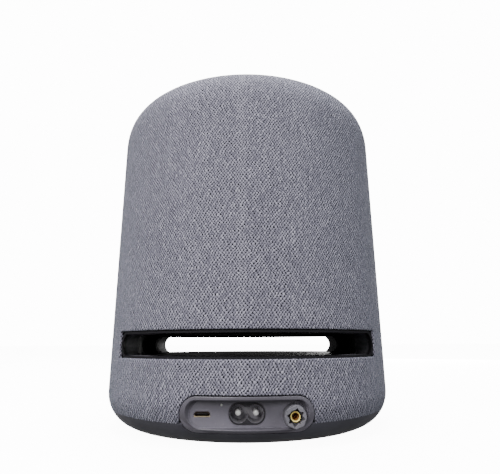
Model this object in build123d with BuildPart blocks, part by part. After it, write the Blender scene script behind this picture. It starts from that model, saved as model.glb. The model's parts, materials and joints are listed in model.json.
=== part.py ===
from build123d import *

import os

# A fabric-covered cylindrical smart speaker. +Z is up, the front faces -Y and the ports face +Y.
# The origin is the centre of the foot's underside. All lengths are in millimetres.

# ---- Driving dimensions: outer form ----
BODY_RADIUS = 87.5
BODY_HEIGHT = 206.0
CREST_RADIUS = 60.2
SHOULDER_DROP = 27.8
SHOULDER_FULLNESS = 0.664
BASE_ROUND = 20.5
SEAM_HEIGHT = 10.65
SEAM_GAP = 0.15

# ---- Walls, as insets from the outer form ----
FABRIC_INNER = 1.0
HOUSING_OUTER = 1.2
GRILLE_INNER = 3.2
HOUSING_INNER = 3.7
COVER_INNER = 2.5
PANEL_RIM_INSET = 0.1

# ---- Bass slot ----
SLOT_MID_Z = 46.7
SLOT_INNER_HEIGHT = 11.4
LINER_WALL = 1.0
LINER_INNER_RADIUS = 71.2
LINER_OUTER_INSET = 0.6
REAR_SLOT_HALF = 69.3
FRONT_SLOT_HALF = 66.4
SLOT_END_BOW = 2.6
FABRIC_SLOT_LOW = 39.7
FABRIC_SLOT_HIGH = 54.1
FIT_GAP = 0.1
FABRIC_GAP = 0.2
CHAMBER_RADIUS = 76.0
DECK_TOP = 36.8
DECK_THICKNESS = 2.5
FRAME_TOP = 56.0

# ---- Port panel ----
PANEL_X = 0.3
PANEL_MID_Z = 15.05
PANEL_HALF_WIDTH = 31.8
PANEL_HEIGHT = 16.7
PANEL_BACK_Y = 76.5
PANEL_FLOOR_Y = 79.0
PANEL_GAP = 0.15
BOARD_FACE_Y = 65.7
BOARD_THICKNESS = 1.6
INLET_X = PANEL_X
INLET_Z = 14.95
INLET_PIN_SPACING = 8.6
USB_X = 21.65
USB_Z = 14.8
USB_HALF_WIDTH = 3.75
USB_HALF_HEIGHT = 1.2
USB_CORNER = 0.9
USB_FACE_Y = 78.85
USB_FLOOR_Y = 67.0
USB_WALL = 0.3
JACK_X = -22.25
JACK_Z = 14.15
STATUS_X = 12.45
STATUS_Z = 18.9

# ---- Base ----
COVER_BOTTOM = 1.0
FOOT_INNER = 56.0
FOOT_OUTER = 64.5
FOOT_THICKNESS = 2.0
SCREW_CIRCLE = 60.0
SCREW_COUNT = 4
SCREW_START = 45.0
SCREW_RADIUS = 1.5
SCREW_HEAD_RADIUS = 2.8
POWER_BOARD_Z = 14.0

# ---- Enclosure and top ----
ENCLOSURE_RADIUS = 78.0
ENCLOSURE_SIDE = 71.0
ENCLOSURE_REAR = 69.5
ENCLOSURE_WALL = 2.5
PLATE_TOP = 59.0
ENCLOSURE_TOP = 170.0
LID_TOP = 172.5
MIC_BOARD_Z = 192.0
TOP_PLATE_Z = 199.5
TOP_PLATE_TOP = 201.5
TOP_PLATE_RADIUS = 54.3
BUTTON_CIRCLE = 40.0
BUTTON_RADIUS = 5.75
BUTTON_HOLE_RADIUS = 6.0

# ---- Drivers ----
SIDE_DRIVER_Z = 147.0
TWEETER_Z = 150.0
COIL_INNER = 13.1
COIL_OUTER = 13.45

os.makedirs("parts", exist_ok=True)


def save(piece, name):
    """Label a finished piece and write it as its own STEP file."""
    piece.part.label = name
    export_step(piece.part, f"parts/{name}.step")


def rear_plane(y):
    """Vertical plane at a given Y whose local axes are +X and +Z."""
    return Plane.XZ.offset(-y)


def ring(inner, outer, bottom, top, mode=Mode.ADD):
    """Flat ring about the Z axis between two heights."""
    with BuildSketch(Plane.XY.offset(bottom)) as section:
        Circle(outer)
        if inner > 0:
            Circle(inner, mode=Mode.SUBTRACT)
    extrude(section.sketch, amount=top - bottom, mode=mode)


def rod(x, z, radius, rear_y, front_y, mode=Mode.ADD):
    """Round bar along Y between two Y positions."""
    with BuildSketch(rear_plane(rear_y)) as section:
        with Locations((x, z)):
            Circle(radius)
    extrude(section.sketch, amount=rear_y - front_y, mode=mode)


def lathe(points, mode=Mode.ADD):
    """Turn a closed outline of (radius, height) points about the Z axis."""
    with BuildSketch(Plane.XZ) as section:
        with BuildLine():
            Polyline(*points, close=True)
        make_face()
    revolve(section.sketch, axis=Axis.Z, mode=mode)


def half_roll(middle, roll, thickness, height, lips, side):
    """Turn a half-round roll with a flat lip on each side; side is +1 for up and -1 for down."""
    inner_lip, outer_lip = lips
    with BuildSketch(Plane.XZ) as section:
        with Locations((middle, height)):
            Circle(roll)
            Circle(roll - thickness, mode=Mode.SUBTRACT)
        with Locations((middle, height - side * roll)):
            Rectangle(2 * roll, 2 * roll, mode=Mode.SUBTRACT)
        inner_end = middle - roll + thickness / 2
        outer_end = middle + roll - thickness / 2
        with Locations(((inner_lip + inner_end) / 2, height)):
            Rectangle(inner_end - inner_lip, thickness)
        with Locations(((outer_lip + outer_end) / 2, height)):
            Rectangle(outer_lip - outer_end, thickness)
    revolve(section.sketch, axis=Axis.Z)


def body_core(inset):
    """Solid of revolution that fills the outer form, moved inwards by inset."""
    wall = BODY_RADIUS - inset
    top = BODY_HEIGHT - inset
    round_centre = BODY_RADIUS - BASE_ROUND
    shoulder_z = BODY_HEIGHT - SHOULDER_DROP
    rise = SHOULDER_FULLNESS * (top - shoulder_z)
    reach = SHOULDER_FULLNESS * (wall - CREST_RADIUS)
    with BuildPart() as core:
        with BuildSketch(Plane.XZ):
            with BuildLine():
                Line((0, inset), (round_centre, inset))
                CenterArc((round_centre, BASE_ROUND), BASE_ROUND - inset, -90, 90)
                Line((wall, BASE_ROUND), (wall, shoulder_z))
                crest = (CREST_RADIUS, top)
                Bezier((wall, shoulder_z), (wall, shoulder_z + rise), (CREST_RADIUS + reach, top), crest)
                Polyline((CREST_RADIUS, top), (0, top), (0, inset))
            make_face()
        revolve(axis=Axis.Z)
    return core.part


def below_seam(gap):
    """Everything under the seam, cut square to the rounded base edge, lowered by gap."""
    centre = BODY_RADIUS - BASE_ROUND
    seam_sine = (BASE_ROUND - SEAM_HEIGHT) / BASE_ROUND
    seam_cosine = (1 - seam_sine**2) ** 0.5
    reach = 2 * BASE_ROUND
    edge = (centre + reach * seam_cosine, BASE_ROUND - reach * seam_sine - gap)
    with BuildPart() as tool:
        lathe([(0, BASE_ROUND - gap), (centre, BASE_ROUND - gap), edge, (edge[0], -reach), (0, -reach)])
    return tool.part


outer_form = body_core(0)
fabric_back = body_core(FABRIC_INNER)
housing_face = body_core(HOUSING_OUTER)
grille_back = body_core(GRILLE_INNER)
housing_back = body_core(HOUSING_INNER)
cover_back = body_core(COVER_INNER)
panel_face = body_core(PANEL_RIM_INSET)
under_seam = below_seam(0)
under_seam_gap = below_seam(SEAM_GAP)


def panel_opening(gap):
    """Hole through a wall for the port panel, wider than the panel by gap all round."""
    with BuildSketch(rear_plane(BODY_RADIUS)) as section:
        with Locations((PANEL_X, PANEL_MID_Z)):
            SlotOverall(2 * (PANEL_HALF_WIDTH + gap), PANEL_HEIGHT + 2 * gap)
    extrude(section.sketch, amount=BODY_RADIUS - BOARD_FACE_Y, mode=Mode.SUBTRACT)


def slot_opening(half_width, low, high, rear):
    """Rectangular cut through the wall at the rear or the front."""
    with BuildSketch(rear_plane(0)) as section:
        with Locations((0, (low + high) / 2)):
            Rectangle(2 * half_width, high - low)
    extrude(section.sketch, amount=-BODY_RADIUS if rear else BODY_RADIUS, mode=Mode.SUBTRACT)


# ---- Fabric sleeve: one tube from the seam to the crest of the shoulder ----
liner_half_height = SLOT_INNER_HEIGHT / 2 + LINER_WALL
with BuildPart() as fabric_sleeve:
    add(outer_form)
    add(fabric_back, mode=Mode.SUBTRACT)
    add(under_seam, mode=Mode.SUBTRACT)
    ring(0, CREST_RADIUS, BODY_HEIGHT - SHOULDER_DROP, BODY_HEIGHT, Mode.SUBTRACT)
    slot_opening(REAR_SLOT_HALF + LINER_WALL + FABRIC_GAP, FABRIC_SLOT_LOW, FABRIC_SLOT_HIGH, True)
    slot_opening(FRONT_SLOT_HALF + LINER_WALL + FABRIC_GAP, FABRIC_SLOT_LOW, FABRIC_SLOT_HIGH, False)
    panel_opening(2 * PANEL_GAP)
save(fabric_sleeve, "fabric_sleeve")

# ---- Grille shell: slotted plastic wall behind the fabric ----
VENT_LENGTH = 9.0
VENT_WIDTH = 3.0
VENT_PITCH_X = 11.0
VENT_PITCH_Z = 5.5
CROWN_VENT_COUNT = 24
CROWN_VENT_RADIUS = 78.0
CROWN_VENT_Z = 187.0
CROWN_VENT_CUT = (30.0, VENT_WIDTH, 14.0)
SIDE_VENT_GRID = (5, 9)
FRONT_VENT_GRID = (3, 5)
with BuildPart() as grille_shell:
    add(housing_face)
    add(grille_back, mode=Mode.SUBTRACT)
    ring(0, CREST_RADIUS, BODY_HEIGHT - SHOULDER_DROP, BODY_HEIGHT, Mode.SUBTRACT)
    ring(0, BODY_RADIUS, 0, FRAME_TOP, Mode.SUBTRACT)
    with BuildSketch(Plane.YZ):
        with Locations((0, SIDE_DRIVER_Z)):
            with GridLocations(VENT_PITCH_X, VENT_PITCH_Z, *SIDE_VENT_GRID):
                SlotOverall(VENT_LENGTH, VENT_WIDTH)
    extrude(amount=BODY_RADIUS, both=True, mode=Mode.SUBTRACT)
    with BuildSketch(rear_plane(0)):
        with Locations((0, TWEETER_Z)):
            with GridLocations(VENT_PITCH_X, VENT_PITCH_Z, *FRONT_VENT_GRID):
                SlotOverall(VENT_LENGTH, VENT_WIDTH)
    extrude(amount=BODY_RADIUS, mode=Mode.SUBTRACT)
    with Locations((0, 0, CROWN_VENT_Z)):
        with PolarLocations(CROWN_VENT_RADIUS, CROWN_VENT_COUNT):
            Box(*CROWN_VENT_CUT, mode=Mode.SUBTRACT)
save(grille_shell, "grille_shell")

# ---- Aperture frame: carries the bass slot and its two side pillars ----
with BuildPart() as aperture_frame:
    ring(CHAMBER_RADIUS, BODY_RADIUS - HOUSING_OUTER, DECK_TOP, FRAME_TOP)
    frame_low = SLOT_MID_Z - liner_half_height - FIT_GAP
    frame_high = SLOT_MID_Z + liner_half_height + FIT_GAP
    slot_opening(REAR_SLOT_HALF + LINER_WALL + FIT_GAP, frame_low, frame_high, True)
    slot_opening(FRONT_SLOT_HALF + LINER_WALL + FIT_GAP, frame_low, frame_high, False)
save(aperture_frame, "aperture_frame")


def bowed_slot(half_width, half_height, mode=Mode.ADD):
    """Slot outline with straight long sides and gently bowed ends."""
    corner = half_width - SLOT_END_BOW
    low = SLOT_MID_Z - half_height
    high = SLOT_MID_Z + half_height
    with BuildLine() as outline:
        Line((-corner, low), (corner, low))
        ThreePointArc((corner, low), (half_width, SLOT_MID_Z), (corner, high))
        Line((corner, high), (-corner, high))
        ThreePointArc((-corner, high), (-half_width, SLOT_MID_Z), (-corner, low))
    make_face(outline.edges(), mode=mode)


def slot_liner(half_width, direction):
    """Bowed sleeve that lines the slot between the chamber and the outer wall."""
    with BuildPart() as liner:
        with BuildSketch(rear_plane(0)) as section:
            bowed_slot(half_width + LINER_WALL, liner_half_height)
            bowed_slot(half_width, SLOT_INNER_HEIGHT / 2, Mode.SUBTRACT)
        extrude(section.sketch, amount=-direction * BODY_RADIUS)
        ring(LINER_INNER_RADIUS, BODY_RADIUS - LINER_OUTER_INSET, DECK_TOP, FRAME_TOP, Mode.INTERSECT)
    return liner


slot_liner_rear = slot_liner(REAR_SLOT_HALF, 1)
save(slot_liner_rear, "slot_liner_rear")
slot_liner_front = slot_liner(FRONT_SLOT_HALF, -1)
save(slot_liner_front, "slot_liner_front")

# ---- Deflector: shallow glossy dish under the woofer ----
DISH_RADIUS = 64.0
DISH_DEPTH = 2.2
deflector_top = SLOT_MID_Z - SLOT_INNER_HEIGHT / 2 - FABRIC_GAP
with BuildPart() as deflector_plate:
    ring(0, CHAMBER_RADIUS - FABRIC_GAP, DECK_TOP, SLOT_MID_Z - liner_half_height - FIT_GAP)
    ring(0, LINER_INNER_RADIUS - FABRIC_GAP, DECK_TOP, deflector_top)
    with BuildSketch(Plane.XZ):
        with BuildLine():
            dish_left = (-DISH_RADIUS, deflector_top)
            dish_right = (DISH_RADIUS, deflector_top)
            ThreePointArc(dish_left, (0, deflector_top - DISH_DEPTH), dish_right)
            Line(dish_right, dish_left)
        make_face()
        with Locations((-DISH_RADIUS, deflector_top)):
            Rectangle(2 * DISH_RADIUS, 2 * DISH_RADIUS, mode=Mode.SUBTRACT)
    revolve(axis=Axis.Z, mode=Mode.SUBTRACT)
save(deflector_plate, "deflector_plate")

# ---- Base housing: lower wall, deck and screw posts ----
POST_RADIUS = 4.5
POST_BOTTOM = 6.2
with BuildPart() as base_housing:
    add(housing_face)
    add(housing_back, mode=Mode.SUBTRACT)
    add(under_seam, mode=Mode.SUBTRACT)
    ring(0, 2 * BODY_RADIUS, DECK_TOP, BODY_HEIGHT, Mode.SUBTRACT)
    ring(0, BODY_RADIUS - HOUSING_OUTER, DECK_TOP - DECK_THICKNESS, DECK_TOP)
    with BuildSketch(Plane.XY.offset(POST_BOTTOM)):
        with PolarLocations(SCREW_CIRCLE, SCREW_COUNT, start_angle=SCREW_START):
            Circle(POST_RADIUS)
            Circle(SCREW_RADIUS + FIT_GAP / 2, mode=Mode.SUBTRACT)
    extrude(amount=DECK_TOP - DECK_THICKNESS - POST_BOTTOM)
    panel_opening(PANEL_GAP)
save(base_housing, "base_housing")

# ---- Base cover: dark plastic pan with the foot groove, screw bosses and board posts ----
COVER_FLOOR_TOP = 3.5
COVER_FLOOR_RADIUS = 72.5
GROOVE_GAP = 0.1
BOSS_TOP = 6.0
BOARD_POSTS = [(-32, -46), (32, -46), (-32, 44), (32, 44)]
BOARD_POST_RADIUS = 2.6
COUNTERBORE_HEIGHT = 4.1
SCREW_CLEARANCE_HEIGHT = 20.0
with BuildPart() as base_cover:
    add(outer_form)
    add(cover_back, mode=Mode.SUBTRACT)
    add(under_seam_gap, mode=Mode.INTERSECT)
    ring(0, COVER_FLOOR_RADIUS, COVER_BOTTOM, COVER_FLOOR_TOP)
    ring(0, BODY_RADIUS, -COVER_BOTTOM, COVER_BOTTOM, Mode.SUBTRACT)
    ring(FOOT_INNER - GROOVE_GAP, FOOT_OUTER + GROOVE_GAP, COVER_BOTTOM, FOOT_THICKNESS, Mode.SUBTRACT)
    with BuildSketch(Plane.XY.offset(FOOT_THICKNESS)):
        with PolarLocations(SCREW_CIRCLE, SCREW_COUNT, start_angle=SCREW_START):
            Circle(POST_RADIUS)
    extrude(amount=BOSS_TOP - FOOT_THICKNESS)
    with BuildSketch(Plane.XY.offset(COVER_FLOOR_TOP)):
        with Locations(*BOARD_POSTS):
            Circle(BOARD_POST_RADIUS)
    extrude(amount=POWER_BOARD_Z - COVER_FLOOR_TOP)
    with Locations(Plane.XY.offset(FOOT_THICKNESS)):
        with PolarLocations(SCREW_CIRCLE, SCREW_COUNT, start_angle=SCREW_START):
            Cylinder(SCREW_HEAD_RADIUS + FIT_GAP, COUNTERBORE_HEIGHT, mode=Mode.SUBTRACT)
            Cylinder(SCREW_RADIUS + FIT_GAP, SCREW_CLEARANCE_HEIGHT, mode=Mode.SUBTRACT)
    panel_opening(PANEL_GAP)
save(base_cover, "base_cover")

FOOT_ROUND = 0.6
with BuildPart() as foot_ring:
    ring(FOOT_INNER, FOOT_OUTER, 0, FOOT_THICKNESS)
    fillet(foot_ring.edges().group_by(Axis.Z)[0], FOOT_ROUND)
save(foot_ring, "foot_ring")

SCREW_HEAD_HEIGHT = 1.95
SCREW_END = 18.0
RECESS_LENGTH = 3.0
RECESS_WIDTH = 0.7
RECESS_DEPTH = 1.2
with BuildPart() as base_screws:
    with BuildSketch(Plane.XY.offset(FOOT_THICKNESS + FIT_GAP / 2)):
        with PolarLocations(SCREW_CIRCLE, SCREW_COUNT, start_angle=SCREW_START):
            Circle(SCREW_HEAD_RADIUS)
    extrude(amount=SCREW_HEAD_HEIGHT)
    with BuildSketch(Plane.XY.offset(FOOT_THICKNESS + SCREW_HEAD_HEIGHT)):
        with PolarLocations(SCREW_CIRCLE, SCREW_COUNT, start_angle=SCREW_START):
            Circle(SCREW_RADIUS)
    extrude(amount=SCREW_END - FOOT_THICKNESS - SCREW_HEAD_HEIGHT)
    with BuildSketch(Plane.XY.offset(FOOT_THICKNESS)):
        with PolarLocations(SCREW_CIRCLE, SCREW_COUNT, start_angle=SCREW_START):
            Rectangle(RECESS_LENGTH, RECESS_WIDTH)
            Rectangle(RECESS_WIDTH, RECESS_LENGTH)
    extrude(amount=RECESS_DEPTH, mode=Mode.SUBTRACT)
save(base_screws, "base_screws")

# ---- Port panel: raised rim around a drafted recess ----
RECESS_HALF_WIDTH = 33.9
RECESS_HEIGHT = 13.4
FLOOR_HALF_WIDTH = 27.0
FLOOR_HEIGHT = 12.4
RIM_ROUND = 0.45
COLLAR_BASE_RADIUS = 5.7
STATUS_HOLE_RADIUS = 0.6
LOBE_OFFSET = 3.9
LOBE_RADIUS = 4.2
SOCKET_BRIDGE = 3.2
INLET_WIDTH = 17.3
INLET_HEIGHT = 9.7
INLET_CORNER = 4.6
COLLAR_SLEEVE = 4.6


def inlet_outline(grow):
    """Rounded outline of the mains inlet, grown by a margin."""
    with Locations((INLET_X, INLET_Z)):
        RectangleRounded(INLET_WIDTH + 2 * grow, INLET_HEIGHT + 2 * grow, INLET_CORNER + grow)


def socket_outline():
    """Two circles bridged above the middle, which leaves a wedge standing between them below."""
    with Locations((INLET_X - LOBE_OFFSET, INLET_Z), (INLET_X + LOBE_OFFSET, INLET_Z)):
        Circle(LOBE_RADIUS)
    with Locations((INLET_X, INLET_Z)):
        Rectangle(2 * LOBE_OFFSET, SOCKET_BRIDGE, align=(Align.CENTER, Align.MIN))


def usb_outline(grow):
    """Micro-USB outline: flat below, narrower above, grown by a margin."""
    half = USB_HALF_WIDTH + grow
    low = USB_Z - USB_HALF_HEIGHT - grow
    high = USB_Z + USB_HALF_HEIGHT + grow
    with BuildLine() as outline:
        Polyline(
            (USB_X - half, low),
            (USB_X + half, low),
            (USB_X + half, high - USB_CORNER),
            (USB_X + half - USB_CORNER, high),
            (USB_X - half + USB_CORNER, high),
            (USB_X - half, high - USB_CORNER),
            close=True,
        )
    make_face(outline.edges())


def rim_edges(panel):
    """Edges of the panel's curved face, without the ones where the base rounding starts."""
    upper_face = panel.faces().filter_by(GeomType.CYLINDER).sort_by(Axis.Y)[-1]
    lower_face = panel.faces().filter_by(GeomType.TORUS)[0]
    edges = upper_face.edges() + lower_face.edges()
    return [edge for edge in edges if abs(edge.center().Z - BASE_ROUND) > FIT_GAP]


with BuildPart() as port_panel:
    with BuildSketch(rear_plane(PANEL_BACK_Y)):
        with Locations((PANEL_X, PANEL_MID_Z)):
            SlotOverall(2 * PANEL_HALF_WIDTH, PANEL_HEIGHT)
    extrude(amount=PANEL_BACK_Y - BODY_RADIUS)
    add(panel_face, mode=Mode.INTERSECT)
    with BuildSketch(rear_plane(PANEL_FLOOR_Y)):
        with Locations((PANEL_X, PANEL_MID_Z)):
            SlotOverall(2 * FLOOR_HALF_WIDTH, FLOOR_HEIGHT)
    with BuildSketch(rear_plane(BODY_RADIUS)):
        with Locations((PANEL_X, PANEL_MID_Z)):
            SlotOverall(2 * RECESS_HALF_WIDTH, RECESS_HEIGHT)
    loft(mode=Mode.SUBTRACT)
    fillet(rim_edges(port_panel), RIM_ROUND)
    with BuildSketch(rear_plane(BODY_RADIUS)):
        inlet_outline(FIT_GAP)
        with Locations((JACK_X, JACK_Z)):
            Circle(COLLAR_SLEEVE + FIT_GAP)
        with Locations((STATUS_X, STATUS_Z)):
            Circle(STATUS_HOLE_RADIUS)
        usb_outline(FIT_GAP)
    extrude(amount=BODY_RADIUS - BOARD_FACE_Y, mode=Mode.SUBTRACT)
    rod(JACK_X, JACK_Z, COLLAR_BASE_RADIUS + FIT_GAP, BODY_RADIUS, PANEL_FLOOR_Y, Mode.SUBTRACT)
save(port_panel, "port_panel")

# ---- Mains inlet: black body with a figure-eight socket and two round pins ----
INLET_FACE_Y = 79.3
SOCKET_FLOOR_Y = 68.0
INLET_PIN_RADIUS = 1.4
INLET_PIN_TIP_Y = 77.0
INLET_PIN_TAIL = 3.0
INLET_PIN_TIP_ROUND = 1.0
INLET_PINS_X = (INLET_X - INLET_PIN_SPACING / 2, INLET_X + INLET_PIN_SPACING / 2)
with BuildPart() as ac_inlet_body:
    with BuildSketch(rear_plane(INLET_FACE_Y)):
        inlet_outline(0)
    extrude(amount=INLET_FACE_Y - BOARD_FACE_Y)
    with BuildSketch(rear_plane(INLET_FACE_Y)):
        socket_outline()
    extrude(amount=INLET_FACE_Y - SOCKET_FLOOR_Y, mode=Mode.SUBTRACT)
    for pin_x in INLET_PINS_X:
        rod(pin_x, INLET_Z, INLET_PIN_RADIUS + FIT_GAP / 2, SOCKET_FLOOR_Y, BOARD_FACE_Y, Mode.SUBTRACT)
save(ac_inlet_body, "ac_inlet_body")

with BuildPart() as ac_inlet_pins:
    for pin_x in INLET_PINS_X:
        rod(pin_x, INLET_Z, INLET_PIN_RADIUS, INLET_PIN_TIP_Y, BOARD_FACE_Y - INLET_PIN_TAIL)
    fillet(ac_inlet_pins.edges().group_by(Axis.Y)[-1], INLET_PIN_TIP_ROUND)
save(ac_inlet_pins, "ac_inlet_pins")

# ---- Micro-USB shell and tongue ----
with BuildPart() as usb_shell:
    with BuildSketch(rear_plane(USB_FACE_Y)):
        usb_outline(0)
    extrude(amount=USB_FACE_Y - BOARD_FACE_Y)
    with BuildSketch(rear_plane(USB_FACE_Y)):
        usb_outline(-USB_WALL)
    extrude(amount=USB_FACE_Y - USB_FLOOR_Y, mode=Mode.SUBTRACT)
save(usb_shell, "usb_shell")

USB_TONGUE_TIP_Y = 78.1
USB_TONGUE_WIDTH = 5.2
USB_TONGUE_THICKNESS = 0.6
USB_TONGUE_RAISE = 0.25
with BuildPart() as usb_tongue:
    with Locations((USB_X, (USB_TONGUE_TIP_Y + USB_FLOOR_Y) / 2, USB_Z + USB_TONGUE_RAISE)):
        Box(USB_TONGUE_WIDTH, USB_TONGUE_TIP_Y - USB_FLOOR_Y, USB_TONGUE_THICKNESS)
save(usb_tongue, "usb_tongue")

# ---- Audio jack: notched grey collar around a gold barrel ----
COLLAR_FACE_RADIUS = 5.05
COLLAR_FACE_Y = 85.2
COLLAR_FACE_THICKNESS = 1.1
COLLAR_SIDES = 8
COLLAR_TAIL = 2.5
COLLAR_WELL_RADIUS = 3.15
COLLAR_WELL_DEPTH = 7.0
COLLAR_BORE = 2.4
COLLAR_NOTCHES = [(12, 4.3), (101, 4.1), (149, 4.3), (194, 4.5), (277, 4.5), (322, 4.3)]
COLLAR_NOTCH_WIDTH = 7.0
COLLAR_NOTCH_DEPTH = 5.0
with BuildPart() as jack_collar:
    with BuildSketch(rear_plane(PANEL_FLOOR_Y + FIT_GAP / 2)):
        with Locations((JACK_X, JACK_Z)):
            Circle(COLLAR_BASE_RADIUS)
    with BuildSketch(rear_plane(COLLAR_FACE_Y - COLLAR_FACE_THICKNESS)):
        with Locations((JACK_X, JACK_Z)):
            Circle(COLLAR_FACE_RADIUS + FIT_GAP)
    loft()
    with BuildSketch(rear_plane(COLLAR_FACE_Y)):
        with Locations((JACK_X, JACK_Z)):
            RegularPolygon(COLLAR_FACE_RADIUS, COLLAR_SIDES)
    extrude(amount=COLLAR_FACE_THICKNESS)
    rod(JACK_X, JACK_Z, COLLAR_SLEEVE, PANEL_FLOOR_Y + COLLAR_FACE_THICKNESS, PANEL_BACK_Y - COLLAR_TAIL)
    rod(JACK_X, JACK_Z, COLLAR_WELL_RADIUS, COLLAR_FACE_Y, COLLAR_FACE_Y - COLLAR_WELL_DEPTH, Mode.SUBTRACT)
    with BuildSketch(rear_plane(COLLAR_FACE_Y)):
        with Locations((JACK_X, JACK_Z)):
            for notch_angle, notch_reach in COLLAR_NOTCHES:
                with PolarLocations(0, 1, start_angle=notch_angle):
                    side = COLLAR_NOTCH_WIDTH / 2
                    Polygon((0, -side), (notch_reach, 0), (0, side), align=None)
    extrude(amount=COLLAR_NOTCH_DEPTH, mode=Mode.SUBTRACT)
    rod(JACK_X, JACK_Z, COLLAR_BORE, COLLAR_FACE_Y, BOARD_FACE_Y, Mode.SUBTRACT)
save(jack_collar, "jack_collar")

BARREL_RADIUS = 2.3
BARREL_BORE = 1.8
BARREL_FACE_Y = 83.2
BARREL_BORE_DEPTH = 14.0
BARREL_CHAMFER = 0.3
with BuildPart() as jack_barrel:
    rod(JACK_X, JACK_Z, BARREL_RADIUS, BARREL_FACE_Y, BOARD_FACE_Y)
    rod(JACK_X, JACK_Z, BARREL_BORE, BARREL_FACE_Y, BARREL_FACE_Y - BARREL_BORE_DEPTH, Mode.SUBTRACT)
    mouth_edges = jack_barrel.edges().filter_by(GeomType.CIRCLE).group_by(Axis.Y)[-1]
    chamfer(mouth_edges.sort_by(SortBy.RADIUS)[0], BARREL_CHAMFER)
save(jack_barrel, "jack_barrel")

LIGHT_PIPE_RADIUS = 0.5
PORT_BOARD_WIDTH = 58.0
PORT_BOARD_HEIGHT = 20.0
PORT_BOARD_RAISE = 1.5
PORT_BOARD_CORNER = 2.0
with BuildPart() as status_light_pipe:
    rod(STATUS_X, STATUS_Z, LIGHT_PIPE_RADIUS, PANEL_FLOOR_Y + FIT_GAP, BOARD_FACE_Y)
save(status_light_pipe, "status_light_pipe")

with BuildPart() as port_board:
    with BuildSketch(rear_plane(BOARD_FACE_Y)):
        with Locations((PANEL_X, PANEL_MID_Z + PORT_BOARD_RAISE)):
            RectangleRounded(PORT_BOARD_WIDTH, PORT_BOARD_HEIGHT, PORT_BOARD_CORNER)
        with Locations(*[(pin_x, INLET_Z) for pin_x in INLET_PINS_X]):
            Circle(INLET_PIN_RADIUS + FIT_GAP, mode=Mode.SUBTRACT)
    extrude(amount=BOARD_THICKNESS)
save(port_board, "port_board")

# ---- Power supply in the base ----
POWER_BOARD_TOP = POWER_BOARD_Z + BOARD_THICKNESS
POWER_BOARD_SIZE = (72.0, 102.0)
POWER_BOARD_MIDDLE = (0, -1)
BOARD_CORNER = 3.0
BOARD_HOLE_RADIUS = 1.6
BLOCK_SIZE = (16.0, 12.0, 10.0)
BLOCK_PLACES = [(-20, 30, 20.6), (20, 34, 19.6)]
with BuildPart() as power_board:
    with BuildSketch(Plane.XY.offset(POWER_BOARD_Z)):
        with Locations(POWER_BOARD_MIDDLE):
            RectangleRounded(*POWER_BOARD_SIZE, BOARD_CORNER)
        with Locations(*BOARD_POSTS):
            Circle(BOARD_HOLE_RADIUS, mode=Mode.SUBTRACT)
    extrude(amount=BOARD_THICKNESS)
    with Locations(*BLOCK_PLACES):
        Box(*BLOCK_SIZE, align=(Align.CENTER, Align.CENTER, Align.MAX))
save(power_board, "power_board")

TRANSFORMER_PLACE = (-14, -14)
CORE_SIZE = (32.0, 26.0)
CORE_CORNER = 1.5
CORE_HEIGHT = 17.0
WINDING_SIZE = (25.0, 34.0)
WINDING_CORNER = 5.0
WINDING_LIFT = 2.0
WINDING_HEIGHT = 13.0
with BuildPart() as power_transformer:
    with BuildSketch(Plane.XY.offset(POWER_BOARD_TOP)):
        with Locations(TRANSFORMER_PLACE):
            RectangleRounded(*CORE_SIZE, CORE_CORNER)
    extrude(amount=CORE_HEIGHT)
    with BuildSketch(Plane.XY.offset(POWER_BOARD_TOP + WINDING_LIFT)):
        with Locations(TRANSFORMER_PLACE):
            RectangleRounded(*WINDING_SIZE, WINDING_CORNER)
    extrude(amount=WINDING_HEIGHT)
save(power_transformer, "power_transformer")

CAPACITOR_PLACES = [(20, -34), (20, -16), (20, 2)]
CAPACITOR_RADIUS = 8.0
CAPACITOR_HEIGHT = 17.0
CAPACITOR_ROUND = 1.2
with BuildPart() as power_capacitors:
    with BuildSketch(Plane.XY.offset(POWER_BOARD_TOP)):
        with Locations(*CAPACITOR_PLACES):
            Circle(CAPACITOR_RADIUS)
    extrude(amount=CAPACITOR_HEIGHT)
    fillet(power_capacitors.edges().group_by(Axis.Z)[-1], CAPACITOR_ROUND)
save(power_capacitors, "power_capacitors")


# ---- Speaker enclosure: round tub with four flats, and its lid ----
def enclosure_outline():
    """Circle trimmed by the flats for the side drivers, the tweeter and the main board."""
    Circle(ENCLOSURE_RADIUS)
    with Locations((0, (ENCLOSURE_REAR - ENCLOSURE_SIDE) / 2)):
        Rectangle(2 * ENCLOSURE_SIDE, ENCLOSURE_SIDE + ENCLOSURE_REAR, mode=Mode.INTERSECT)


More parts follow.
